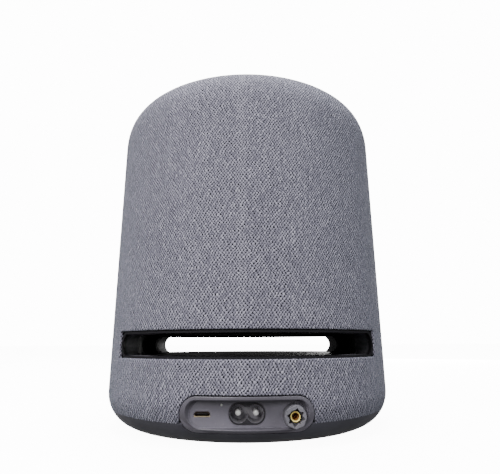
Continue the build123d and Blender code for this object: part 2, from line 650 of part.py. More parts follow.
WOOFER_HOLE = 62.4
FLANGE_RADIUS = 84.0
SIDE_HOLE = 23.2
TWEETER_HOLE = 16.5
BOARD_BOSSES = [(-32, 96), (32, 96), (-32, 154), (32, 154)]
MAIN_BOARD_Y = 73.0
SCREW_SQUARE = 43.0
PILOT_RADIUS = 1.25
WOOFER_SCREW_CIRCLE = 64.4
WOOFER_SCREW_COUNT = 6
WOOFER_SCREW_START = 30.0
BOARD_BOSS_RADIUS = 3.0
BOSS_ROOT = 1.0
with BuildPart() as speaker_enclosure:
    ring(WOOFER_HOLE, FLANGE_RADIUS, FRAME_TOP, PLATE_TOP)
    with BuildSketch(Plane.XY.offset(PLATE_TOP)):
        enclosure_outline()
        offset(amount=-ENCLOSURE_WALL, mode=Mode.SUBTRACT)
    extrude(amount=ENCLOSURE_TOP - PLATE_TOP)
    with BuildSketch(Plane.YZ):
        with Locations((0, SIDE_DRIVER_Z)):
            Circle(SIDE_HOLE)
            with GridLocations(SCREW_SQUARE, SCREW_SQUARE, 2, 2):
                Circle(PILOT_RADIUS)
    extrude(amount=BODY_RADIUS, both=True, mode=Mode.SUBTRACT)
    with BuildSketch(rear_plane(0)):
        with Locations((0, TWEETER_Z)):
            Circle(TWEETER_HOLE)
    extrude(amount=BODY_RADIUS, mode=Mode.SUBTRACT)
    with BuildSketch(rear_plane(MAIN_BOARD_Y)):
        with Locations(*BOARD_BOSSES):
            Circle(BOARD_BOSS_RADIUS)
    extrude(amount=MAIN_BOARD_Y - ENCLOSURE_REAR + BOSS_ROOT)
    with BuildSketch(Plane.XY.offset(FRAME_TOP)):
        with PolarLocations(WOOFER_SCREW_CIRCLE, WOOFER_SCREW_COUNT, start_angle=WOOFER_SCREW_START):
            Circle(PILOT_RADIUS)
    extrude(amount=PLATE_TOP - FRAME_TOP, mode=Mode.SUBTRACT)
save(speaker_enclosure, "speaker_enclosure")

with BuildPart() as enclosure_lid:
    with BuildSketch(Plane.XY.offset(ENCLOSURE_TOP)):
        enclosure_outline()
        Circle(SIDE_HOLE, mode=Mode.SUBTRACT)
        with GridLocations(SCREW_SQUARE, SCREW_SQUARE, 2, 2):
            Circle(PILOT_RADIUS, mode=Mode.SUBTRACT)
    extrude(amount=LID_TOP - ENCLOSURE_TOP)
save(enclosure_lid, "enclosure_lid")

# ---- Main board and its heat sink on the rear of the enclosure ----
MAIN_BOARD_MID_Z = 125.0
MAIN_BOARD_SIZE = (72.0, 68.0)
CHIP_PLACES = [(-22, 106), (0, 104), (22, 106)]
CHIP_SIDE = 12.0
CHIP_HEIGHT = 1.5
with BuildPart() as main_board:
    with BuildSketch(rear_plane(MAIN_BOARD_Y + BOARD_THICKNESS)):
        with Locations((0, MAIN_BOARD_MID_Z)):
            RectangleRounded(*MAIN_BOARD_SIZE, BOARD_CORNER)
        with Locations(*BOARD_BOSSES):
            Circle(BOARD_HOLE_RADIUS, mode=Mode.SUBTRACT)
    extrude(amount=BOARD_THICKNESS)
    with BuildSketch(rear_plane(MAIN_BOARD_Y + BOARD_THICKNESS)):
        with Locations(*CHIP_PLACES):
            Rectangle(CHIP_SIDE, CHIP_SIDE)
    extrude(amount=-CHIP_HEIGHT)
save(main_board, "main_board")

SINK_MID_Z = 136.0
SINK_WIDTH = 38.0
SINK_HEIGHT = 34.0
SINK_PLATE = 2.0
FIN_COUNT = 8
FIN_PITCH = 5.0
FIN_THICKNESS = 1.2
FIN_DEPTH = 7.0
with BuildPart() as heat_sink:
    sink_back = MAIN_BOARD_Y + BOARD_THICKNESS
    with BuildSketch(rear_plane(sink_back)):
        with Locations((0, SINK_MID_Z)):
            Rectangle(SINK_WIDTH, SINK_HEIGHT)
    extrude(amount=-SINK_PLATE)
    with BuildSketch(rear_plane(sink_back)):
        with Locations((0, SINK_MID_Z)):
            with GridLocations(FIN_PITCH, 1, FIN_COUNT, 1):
                Rectangle(FIN_THICKNESS, SINK_HEIGHT)
    extrude(amount=-FIN_DEPTH)
save(heat_sink, "heat_sink")

# ---- Top assembly ----
CHASSIS_Z = 188.5
CHASSIS_THICKNESS = 2.0
CHASSIS_INNER = 44.0
CHASSIS_OUTER = 66.0
CHASSIS_RIM_INNER = 62.5
CHASSIS_RIM_TOP = 200.3
LEG_CIRCLE = 59.0
LEG_SIDE = 9.0
CHASSIS_POST_CIRCLE = 47.0
CHASSIS_POST_RADIUS = 2.8
MIC_BOARD_RADIUS = 58.0
MIC_BOARD_TOP = MIC_BOARD_Z + BOARD_THICKNESS
with BuildPart() as top_chassis:
    ring(CHASSIS_INNER, CHASSIS_OUTER, CHASSIS_Z, CHASSIS_Z + CHASSIS_THICKNESS)
    ring(CHASSIS_RIM_INNER, CHASSIS_OUTER, CHASSIS_Z, CHASSIS_RIM_TOP)
    with BuildSketch(Plane.XY.offset(LID_TOP)):
        with PolarLocations(LEG_CIRCLE, SCREW_COUNT, start_angle=SCREW_START):
            Rectangle(LEG_SIDE, LEG_SIDE)
    extrude(amount=CHASSIS_Z - LID_TOP)
    with BuildSketch(Plane.XY.offset(CHASSIS_Z)):
        with PolarLocations(CHASSIS_POST_CIRCLE, SCREW_COUNT, start_angle=SCREW_START):
            Circle(CHASSIS_POST_RADIUS)
    extrude(amount=MIC_BOARD_Z - CHASSIS_Z)
save(top_chassis, "top_chassis")

BUTTON_COUNT = 4
SWITCH_SIDE = 6.0
SWITCH_BODY = 2.4
SWITCH_TOP = 196.5
PLUNGER_RADIUS = 1.7
LED_COUNT = 24
LED_CIRCLE = 55.6
LED_SIDE = 3.0
LED_HEIGHT = 1.2
with BuildPart() as mic_board:
    ring(0, MIC_BOARD_RADIUS, MIC_BOARD_Z, MIC_BOARD_TOP)
    with BuildSketch(Plane.XY.offset(MIC_BOARD_TOP)):
        with PolarLocations(BUTTON_CIRCLE, BUTTON_COUNT):
            Rectangle(SWITCH_SIDE, SWITCH_SIDE)
    extrude(amount=SWITCH_BODY)
    with BuildSketch(Plane.XY.offset(MIC_BOARD_TOP)):
        with PolarLocations(BUTTON_CIRCLE, BUTTON_COUNT):
            Circle(PLUNGER_RADIUS)
    extrude(amount=SWITCH_TOP - MIC_BOARD_TOP)
    with BuildSketch(Plane.XY.offset(MIC_BOARD_TOP)):
        with PolarLocations(LED_CIRCLE, LED_COUNT):
            Rectangle(LED_SIDE, LED_SIDE)
    extrude(amount=LED_HEIGHT)
save(mic_board, "mic_board")

LIGHT_INNER = 54.6
LIGHT_OUTER = 56.9
LIGHT_LOW = 195.0
LIGHT_TOP = 201.2
LIGHT_FLANGE_OUTER = 59.5
LIGHT_FLANGE_TOP = 196.4
with BuildPart() as light_ring:
    ring(LIGHT_INNER, LIGHT_OUTER, LIGHT_LOW, LIGHT_TOP)
    ring(LIGHT_INNER, LIGHT_FLANGE_OUTER, LIGHT_LOW, LIGHT_FLANGE_TOP)
save(light_ring, "light_ring")

TRIM_INNER = 57.0
TRIM_OUTER = 60.0
TRIM_LOW = 196.5
TRIM_LEDGE_OUTER = 65.0
TRIM_LEDGE_LOW = 200.4
TRIM_LEDGE_TOP = 202.3
TRIM_LAND = 1.0
TRIM_TOP = 205.7
TRIM_INNER_TOP = 202.0
with BuildPart() as top_trim_ring:
    lathe([
        (TRIM_INNER, TRIM_LOW),
        (TRIM_OUTER, TRIM_LOW),
        (TRIM_OUTER, TRIM_LEDGE_LOW),
        (TRIM_LEDGE_OUTER, TRIM_LEDGE_LOW),
        (TRIM_LEDGE_OUTER, TRIM_LEDGE_TOP),
        (TRIM_OUTER, TRIM_LEDGE_TOP),
        (TRIM_OUTER, TRIM_TOP),
        (TRIM_OUTER - TRIM_LAND, TRIM_TOP),
        (TRIM_INNER, TRIM_INNER_TOP),
    ])
save(top_trim_ring, "top_trim_ring")

MIC_CIRCLE = 48.0
MIC_COUNT = 6
MIC_START = 30.0
MIC_HOLE_RADIUS = 0.8
PLATE_POST_CIRCLE = 30.0
PLATE_POST_RADIUS = 2.5
PLATE_CHAMFER = 0.4
with BuildPart() as top_plate:
    ring(0, TOP_PLATE_RADIUS, TOP_PLATE_Z, TOP_PLATE_TOP)
    with BuildSketch(Plane.XY.offset(MIC_BOARD_TOP)):
        with PolarLocations(PLATE_POST_CIRCLE, SCREW_COUNT, start_angle=SCREW_START):
            Circle(PLATE_POST_RADIUS)
    extrude(amount=TOP_PLATE_Z - MIC_BOARD_TOP)
    with BuildSketch(Plane.XY.offset(TOP_PLATE_TOP)):
        with PolarLocations(BUTTON_CIRCLE, BUTTON_COUNT):
            Circle(BUTTON_HOLE_RADIUS)
        with PolarLocations(MIC_CIRCLE, MIC_COUNT, start_angle=MIC_START):
            Circle(MIC_HOLE_RADIUS)
        Circle(MIC_HOLE_RADIUS)
    extrude(amount=TOP_PLATE_Z - TOP_PLATE_TOP, mode=Mode.SUBTRACT)
    plate_rim = top_plate.edges().filter_by(GeomType.CIRCLE).group_by(Axis.Z)[-1].sort_by(SortBy.RADIUS)[-1]
    chamfer(plate_rim, PLATE_CHAMFER)
save(top_plate, "top_plate")

# ---- Push buttons: crowned cap, retaining flange and stem ----
CAP_LOW = 199.2
CAP_TOP = 201.3
CAP_ROUND = 0.5
BUTTON_FLANGE_LOW = 198.2
BUTTON_FLANGE_RADIUS = 7.2
STEM_RADIUS = 2.0
STEM_LOW = 197.1


def push_button(x, y):
    """Button at a place on the top plate."""
    with BuildPart() as button:
        with BuildSketch(Plane.XY.offset(CAP_LOW)):
            with Locations((x, y)):
                Circle(BUTTON_RADIUS)
        extrude(amount=CAP_TOP - CAP_LOW)
        fillet(button.edges().group_by(Axis.Z)[-1], CAP_ROUND)
        with BuildSketch(Plane.XY.offset(BUTTON_FLANGE_LOW)):
            with Locations((x, y)):
                Circle(BUTTON_FLANGE_RADIUS)
        extrude(amount=CAP_LOW - BUTTON_FLANGE_LOW)
        with BuildSketch(Plane.XY.offset(STEM_LOW)):
            with Locations((x, y)):
                Circle(STEM_RADIUS)
        extrude(amount=BUTTON_FLANGE_LOW - STEM_LOW)
    return button


BUTTON_PLACES = {
    "button_volume_up": (BUTTON_CIRCLE, 0),
    "button_mute": (0, BUTTON_CIRCLE),
    "button_volume_down": (-BUTTON_CIRCLE, 0),
    "button_action": (0, -BUTTON_CIRCLE),
}
for button_name, button_place in BUTTON_PLACES.items():
    save(push_button(*button_place), button_name)

# ---- Woofer, firing down into the slot chamber ----
FLANGE_TOP = 61.5
FLANGE_INNER = 58.8
FLANGE_OUTER = 66.5
BASKET_TOP = 88.0
BASKET_FOOT = (60.0, 62.5)
BASKET_NECK = (40.0, 42.5)
BASKET_ROOT = 1.0
MOTOR_SEAT_INNER = 30.0
MOTOR_Z = 90.0
SPIDER_Z = 83.8
SPIDER_LEDGE = (36.5, 44.8)
SPIDER_LEDGE_THICKNESS = 1.8
WINDOW_COUNT = 6
WINDOW_CIRCLE = 52.0
WINDOW_Z = 71.5
WINDOW_CUT = (30.0, 34.0, 14.0)
FLANGE_HOLE_RADIUS = 1.3
with BuildPart() as woofer_basket:
    ring(FLANGE_INNER, FLANGE_OUTER, PLATE_TOP, FLANGE_TOP)
    lathe([
        (BASKET_FOOT[0], FLANGE_TOP - BASKET_ROOT),
        (BASKET_FOOT[1], FLANGE_TOP - BASKET_ROOT),
        (BASKET_NECK[1], BASKET_TOP),
        (BASKET_NECK[0], BASKET_TOP),
    ])
    ring(MOTOR_SEAT_INNER, BASKET_NECK[1], BASKET_TOP, MOTOR_Z)
    ring(*SPIDER_LEDGE, SPIDER_Z - SPIDER_LEDGE_THICKNESS, SPIDER_Z)
    with Locations((0, 0, WINDOW_Z)):
        with PolarLocations(WINDOW_CIRCLE, WINDOW_COUNT):
            Box(*WINDOW_CUT, mode=Mode.SUBTRACT)
    with BuildSketch(Plane.XY.offset(FLANGE_TOP)):
        with PolarLocations(WOOFER_SCREW_CIRCLE, WOOFER_SCREW_COUNT, start_angle=WOOFER_SCREW_START):
            Circle(FLANGE_HOLE_RADIUS)
    extrude(amount=PLATE_TOP - FLANGE_TOP, mode=Mode.SUBTRACT)
save(woofer_basket, "woofer_basket")

FRONT_PLATE_TOP = 95.0
FRONT_PLATE_INNER = 14.3
FRONT_PLATE_OUTER = 38.0
with BuildPart() as woofer_front_plate:
    ring(FRONT_PLATE_INNER, FRONT_PLATE_OUTER, MOTOR_Z, FRONT_PLATE_TOP)
save(woofer_front_plate, "woofer_front_plate")

MAGNET_TOP = 111.0
MAGNET_INNER = 20.0
MAGNET_OUTER = 42.0
MAGNET_CHAMFER = 1.0
with BuildPart() as woofer_magnet:
    ring(MAGNET_INNER, MAGNET_OUTER, FRONT_PLATE_TOP, MAGNET_TOP)
    magnet_rims = woofer_magnet.edges().filter_by(GeomType.CIRCLE).sort_by(SortBy.RADIUS)[-2:]
    chamfer(magnet_rims, MAGNET_CHAMFER)
save(woofer_magnet, "woofer_magnet")

YOKE_TOP = 116.0
YOKE_VENT = 4.0
YOKE_POLE = 12.6
with BuildPart() as woofer_yoke:
    ring(YOKE_VENT, FRONT_PLATE_OUTER, MAGNET_TOP, YOKE_TOP)
    ring(YOKE_VENT, YOKE_POLE, MOTOR_Z, MAGNET_TOP)
save(woofer_yoke, "woofer_yoke")

SURROUND_MIDDLE = 54.6
SURROUND_ROLL = 4.3
SURROUND_THICKNESS = 0.7
SURROUND_Z = 58.5
SURROUND_LIPS = (48.0, 62.2)
with BuildPart() as woofer_surround:
    half_roll(SURROUND_MIDDLE, SURROUND_ROLL, SURROUND_THICKNESS, SURROUND_Z, SURROUND_LIPS, -1)
save(woofer_surround, "woofer_surround")

SPIDER_WAVES = [(13.5, 0.1), (19.0, 1.4), (24.0, 0.1), (29.0, 1.4), (34.0, 0.1), (40.5, 0.1)]
SPIDER_THICKNESS = 0.6
with BuildPart() as woofer_spider:
    spider_under = [(radius, SPIDER_Z + lift) for radius, lift in SPIDER_WAVES]
    spider_over = [(radius, height + SPIDER_THICKNESS) for radius, height in reversed(spider_under)]
    lathe(spider_under + spider_over)
save(woofer_spider, "woofer_spider")

CONE_EDGE = (50.0, 59.05)
CONE_NECK = (COIL_OUTER, 82.6)
CONE_THICKNESS = 0.9
with BuildPart() as woofer_cone:
    lathe([
        CONE_EDGE,
        CONE_NECK,
        (CONE_NECK[0], CONE_NECK[1] + CONE_THICKNESS),
        (CONE_EDGE[0], CONE_EDGE[1] + CONE_THICKNESS),
    ])
save(woofer_cone, "woofer_cone")

FORMER_LOW = 79.0
FORMER_TOP = 104.5
COIL_WIRE_OUTER = 13.85
COIL_WIRE_LOW = 88.0
COIL_WIRE_TOP = 98.0
with BuildPart() as woofer_voice_coil:
    ring(COIL_INNER, COIL_OUTER, FORMER_LOW, FORMER_TOP)
    ring(COIL_INNER, COIL_WIRE_OUTER, COIL_WIRE_LOW, COIL_WIRE_TOP)
save(woofer_voice_coil, "woofer_voice_coil")

CAP_EDGE_OUTER = (17.0, 79.9)
CAP_EDGE_INNER = (16.6, 80.2)
CAP_CROWN = 75.0
CAP_THICKNESS = 0.6
with BuildPart() as woofer_dust_cap:
    with BuildSketch(Plane.XZ):
        with BuildLine():
            cap_left_outer = (-CAP_EDGE_OUTER[0], CAP_EDGE_OUTER[1])
            cap_left_inner = (-CAP_EDGE_INNER[0], CAP_EDGE_INNER[1])
            ThreePointArc(cap_left_outer, (0, CAP_CROWN), CAP_EDGE_OUTER)
            Line(CAP_EDGE_OUTER, CAP_EDGE_INNER)
            ThreePointArc(CAP_EDGE_INNER, (0, CAP_CROWN + CAP_THICKNESS), cap_left_inner)
            Line(cap_left_inner, cap_left_outer)
        make_face()
        with Locations((-BODY_RADIUS, CAP_CROWN)):
            Rectangle(2 * BODY_RADIUS, 2 * BODY_RADIUS, mode=Mode.SUBTRACT)
    revolve(axis=Axis.Z)
save(woofer_dust_cap, "woofer_dust_cap")

# ---- Mid drivers, drawn about the Z axis with the mounting plane at zero and the front upwards ----
MID_FLANGE = 2.2
MID_FLANGE_SIDE = 52.0
MID_FLANGE_CORNER = 8.0
MID_MOUTH = 21.3
MID_HOLE_RADIUS = 1.6
MID_WALL = 1.5
MID_WALL_TOP = 0.5
MID_NECK = 16.0
MID_NECK_Z = -14.0
MID_SEAT_INNER = 9.0
MID_SEAT_Z = -15.5
MID_WINDOW_CIRCLE = 19.0
MID_WINDOW_CUT = (12.0, 15.0, 7.0)
MID_PLATE = (7.5, 15.5)
MID_PLATE_Z = -18.5
MID_MAGNET = (9.5, 17.0)
MID_MAGNET_Z = -26.5
MID_YOKE_RADIUS = 16.0
MID_YOKE_Z = -29.0
MID_POLE_RADIUS = 6.2
MID_SURROUND_MIDDLE = 20.5
MID_SURROUND_ROLL = 2.3
MID_SURROUND_THICKNESS = 0.5
MID_SURROUND_Z = 2.5
MID_SURROUND_LIPS = (17.2, 24.6)
MID_CONE_EDGE = (17.8, 0.9)
MID_CONE_NECK = (6.95, -8.1)
MID_CONE_THICKNESS = 0.6
MID_FORMER_INNER = 6.6
MID_FORMER_LOW = -21.0
MID_FORMER_TOP = -7.4
MID_CAP_OVER = [(0, -4.8), (5.0, -5.5), (8.4, -6.6)]
MID_CAP_UNDER = [(8.6, -6.9), (5.0, -6.1), (0, -5.4)]


def mid_basket():
    """Square-flanged open frame of a mid driver."""
    with BuildPart() as basket:
        with BuildSketch(Plane.XY):
            RectangleRounded(MID_FLANGE_SIDE, MID_FLANGE_SIDE, MID_FLANGE_CORNER)
            Circle(MID_MOUTH, mode=Mode.SUBTRACT)
            with GridLocations(SCREW_SQUARE, SCREW_SQUARE, 2, 2):
                Circle(MID_HOLE_RADIUS, mode=Mode.SUBTRACT)
        extrude(amount=MID_FLANGE)
        lathe([
            (MID_MOUTH, MID_WALL_TOP),
            (MID_MOUTH + MID_WALL, MID_WALL_TOP),
            (MID_NECK + MID_WALL, MID_NECK_Z),
            (MID_NECK, MID_NECK_Z),
        ])
        ring(MID_SEAT_INNER, MID_NECK + MID_WALL, MID_SEAT_Z, MID_NECK_Z)
        with Locations((0, 0, MID_NECK_Z / 2)):
            with PolarLocations(MID_WINDOW_CIRCLE, SCREW_COUNT):
                Box(*MID_WINDOW_CUT, mode=Mode.SUBTRACT)
    return basket.part


def mid_motor():
    """Front plate, magnet and yoke with a round gap for the coil."""
    with BuildPart() as motor:
        ring(*MID_PLATE, MID_PLATE_Z, MID_SEAT_Z)
        ring(*MID_MAGNET, MID_MAGNET_Z, MID_PLATE_Z)
        ring(0, MID_YOKE_RADIUS, MID_YOKE_Z, MID_MAGNET_Z)
        ring(0, MID_POLE_RADIUS, MID_MAGNET_Z, MID_SEAT_Z)
    return motor.part


def mid_surround():
    """Outward half roll of a mid driver."""
    with BuildPart() as surround:
        half_roll(
            MID_SURROUND_MIDDLE,
            MID_SURROUND_ROLL,
            MID_SURROUND_THICKNESS,
            MID_SURROUND_Z,
            MID_SURROUND_LIPS,
            1,
        )
    return surround.part


def mid_cone():
    """Cone, cap and coil former of a mid driver."""
    with BuildPart() as cone:
        lathe([
            (MID_CONE_EDGE[0], MID_CONE_EDGE[1] + MID_CONE_THICKNESS),
            (MID_CONE_NECK[0], MID_CONE_NECK[1] + MID_CONE_THICKNESS),
            MID_CONE_NECK,
            MID_CONE_EDGE,
        ])
        ring(MID_FORMER_INNER, MID_CONE_NECK[0], MID_FORMER_LOW, MID_FORMER_TOP)
        lathe(MID_CAP_OVER + MID_CAP_UNDER)
    return cone.part


MID_PLANES = {
    "left": Plane(origin=(ENCLOSURE_SIDE, 0, SIDE_DRIVER_Z), x_dir=(0, 1, 0), z_dir=(1, 0, 0)),
    "right": Plane(origin=(-ENCLOSURE_SIDE, 0, SIDE_DRIVER_Z), x_dir=(0, -1, 0), z_dir=(-1, 0, 0)),
    "top": Plane(origin=(0, 0, LID_TOP), x_dir=(1, 0, 0), z_dir=(0, 0, 1)),
}
MID_PIECES = {"basket": mid_basket(), "motor": mid_motor(), "surround": mid_surround(), "cone": mid_cone()}
for mid_name, mid_plane in MID_PLANES.items():
    for piece_name, piece_shape in MID_PIECES.items():
        with BuildPart() as mid_piece:
            with Locations(mid_plane.location):
                add(piece_shape)
        save(mid_piece, f"mid_{mid_name}_{piece_name}")

# ---- Tweeter, drawn the same way and turned to face the front ----
TWEETER_PLANE = Plane(origin=(0, -ENCLOSURE_SIDE, TWEETER_Z), x_dir=(1, 0, 0), z_dir=(0, -1, 0))
FACEPLATE_BORE = 11.4
FACEPLATE_RADIUS = 24.0
FACEPLATE_THICKNESS = 2.5
FACEPLATE_FLARE = 19.0
FACEPLATE_LIP = 0.8
TWEETER_MOTOR_RADIUS = 16.0
TWEETER_GAP_RADIUS = 10.6
TWEETER_PLATE_TOP = -0.2
TWEETER_MAGNET_INNER = 12.0
TWEETER_MAGNET_TOP = -3.2
TWEETER_YOKE_TOP = -12.0
TWEETER_YOKE_BACK = -15.0
TWEETER_POLE_RADIUS = 9.3
TWEETER_POLE_TOP = -0.8
DOME_EDGE = 10.1
DOME_RISE = 4.2
DOME_LIFT = 0.2
DOME_THICKNESS = 0.4
DOME_COIL_DEPTH = 5.0
dome_sphere = (DOME_EDGE**2 + DOME_RISE**2) / (2 * DOME_RISE)


def tweeter_faceplate():
    """Disc with a shallow flare around the dome."""
    with BuildPart() as faceplate:
        lathe([
            (FACEPLATE_BORE, 0),
            (FACEPLATE_RADIUS, 0),
            (FACEPLATE_RADIUS, FACEPLATE_THICKNESS),
            (FACEPLATE_FLARE, FACEPLATE_THICKNESS),
            (FACEPLATE_BORE, FACEPLATE_LIP),
        ])
    return faceplate.part


def tweeter_motor():
    """Closed motor behind the faceplate."""
    with BuildPart() as motor:
        ring(TWEETER_GAP_RADIUS, TWEETER_MOTOR_RADIUS, TWEETER_MAGNET_TOP, TWEETER_PLATE_TOP)
        ring(TWEETER_MAGNET_INNER, TWEETER_MOTOR_RADIUS, TWEETER_YOKE_TOP, TWEETER_MAGNET_TOP)
        ring(0, TWEETER_MOTOR_RADIUS, TWEETER_YOKE_BACK, TWEETER_YOKE_TOP)
        ring(0, TWEETER_POLE_RADIUS, TWEETER_YOKE_TOP, TWEETER_POLE_TOP)
    return motor.part


def tweeter_dome():
    """Spherical dome with its coil former."""
    with BuildPart() as dome:
        with Locations((0, 0, DOME_LIFT + DOME_RISE - dome_sphere)):
            Sphere(dome_sphere)
            Sphere(dome_sphere - DOME_THICKNESS, mode=Mode.SUBTRACT)
        ring(0, 2 * dome_sphere, -2 * dome_sphere, DOME_LIFT, Mode.SUBTRACT)
        ring(DOME_EDGE - DOME_THICKNESS, DOME_EDGE, -DOME_COIL_DEPTH, 2 * DOME_LIFT)
    return dome.part


TWEETER_PIECES = {"faceplate": tweeter_faceplate(), "motor": tweeter_motor(), "dome": tweeter_dome()}
for piece_name, piece_shape in TWEETER_PIECES.items():
    with BuildPart() as tweeter_piece:
        with Locations(TWEETER_PLANE.location):
            add(piece_shape)
    save(tweeter_piece, f"tweeter_{piece_name}")

# ---- Driver screws: pan heads on the woofer's flange and the mids' flanges, all separate solids ----
DRIVER_SCREW_RADIUS = 1.2
DRIVER_HEAD_RADIUS = 2.0
DRIVER_HEAD_HEIGHT = 1.4
with BuildPart() as mid_screw_set:
    with BuildSketch(Plane.XY.offset(MID_FLANGE)):
        with GridLocations(SCREW_SQUARE, SCREW_SQUARE, 2, 2):
            Circle(DRIVER_HEAD_RADIUS)
    extrude(amount=DRIVER_HEAD_HEIGHT)
    with BuildSketch(Plane.XY.offset(MID_FLANGE)):
        with GridLocations(SCREW_SQUARE, SCREW_SQUARE, 2, 2):
            Circle(DRIVER_SCREW_RADIUS)
    extrude(amount=-MID_FLANGE - ENCLOSURE_WALL)

with BuildPart() as driver_screws:
    with BuildSketch(Plane.XY.offset(FLANGE_TOP)):
        with PolarLocations(WOOFER_SCREW_CIRCLE, WOOFER_SCREW_COUNT, start_angle=WOOFER_SCREW_START):
            Circle(DRIVER_HEAD_RADIUS)
    extrude(amount=DRIVER_HEAD_HEIGHT)
    with BuildSketch(Plane.XY.offset(FLANGE_TOP)):
        with PolarLocations(WOOFER_SCREW_CIRCLE, WOOFER_SCREW_COUNT, start_angle=WOOFER_SCREW_START):
            Circle(DRIVER_SCREW_RADIUS)
    extrude(amount=FRAME_TOP - FLANGE_TOP)
    for mid_plane in MID_PLANES.values():
        with Locations(mid_plane.location):
            add(mid_screw_set.part)
save(driver_screws, "driver_screws")
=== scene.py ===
import json
import math
from functools import partial

import bmesh
import bpy
import numpy as np
from mathutils import Matrix, Vector


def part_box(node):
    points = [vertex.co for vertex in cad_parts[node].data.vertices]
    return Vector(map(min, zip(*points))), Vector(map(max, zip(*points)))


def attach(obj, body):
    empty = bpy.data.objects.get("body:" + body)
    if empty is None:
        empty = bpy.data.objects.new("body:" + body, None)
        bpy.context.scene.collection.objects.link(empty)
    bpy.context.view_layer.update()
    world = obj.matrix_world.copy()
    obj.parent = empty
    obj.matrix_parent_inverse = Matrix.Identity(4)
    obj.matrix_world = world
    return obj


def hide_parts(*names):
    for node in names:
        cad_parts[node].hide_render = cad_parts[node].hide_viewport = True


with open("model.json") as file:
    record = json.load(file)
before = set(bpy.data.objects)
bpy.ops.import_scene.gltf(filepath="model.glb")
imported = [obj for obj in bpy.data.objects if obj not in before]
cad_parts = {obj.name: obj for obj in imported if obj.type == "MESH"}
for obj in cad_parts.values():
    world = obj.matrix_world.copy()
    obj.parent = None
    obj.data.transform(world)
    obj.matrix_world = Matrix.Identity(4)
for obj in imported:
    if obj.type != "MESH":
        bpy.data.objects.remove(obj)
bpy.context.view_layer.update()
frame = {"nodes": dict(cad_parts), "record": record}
nodes = frame["nodes"]
MM = 0.001

# ---- Sizes read from the frame, in metres ----
sleeve_low, sleeve_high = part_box("fabric_sleeve")
panel_low, panel_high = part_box("port_panel")
rear_liner_low, rear_liner_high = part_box("slot_liner_rear")
front_liner_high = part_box("slot_liner_front")[1]
BODY_R = sleeve_high.x
BODY_TOP = sleeve_high.z
SEAM_Z = sleeve_low.z

# ---- Places where a material changes tone or painted light and shade start, in the CAD model's axes ----
INLET_WELL_Y = 78.4 * MM
INLET_FACE_Y = 79.2 * MM
INLET_REACH = 13.0 * MM
INLET_LOW_Z = 10.0 * MM
INLET_HIGH_Z = 16.0 * MM
PORT_FLOOR_Y = 79.7 * MM
PORT_RIM_RADIUS = 86.4 * MM
PORT_BLEND = 0.6 * MM
BARREL_DARK_Y = 80.2 * MM
BARREL_BRIGHT_Y = 82.0 * MM
USB_BRIGHT_Z = 14.0 * MM
USB_DARK_Z = 14.5 * MM
SLOT_REAR_Y = 40.0 * MM
SLOT_END_X = 54.0 * MM
SLOT_END_BLEND = 6.0 * MM
SLOT_LIP_RADIUS = 84.0 * MM
SLOT_LIP_BLEND = 3.0 * MM

# ---- Outer form, as in the CAD model ----
CREST_R = 60.2 * MM
SHOULDER_DROP = 27.8 * MM
SHOULDER_FULLNESS = 0.664
BASE_ROUND = 20.5 * MM

# ---- Weave: staggered stitches on the sleeve ----
STITCHES_ROUND = 332
ROW_PITCH = 1.14 * MM
# the lighter rib's place, in stitches from the middle of the rear
RIB_STITCH = 1.7


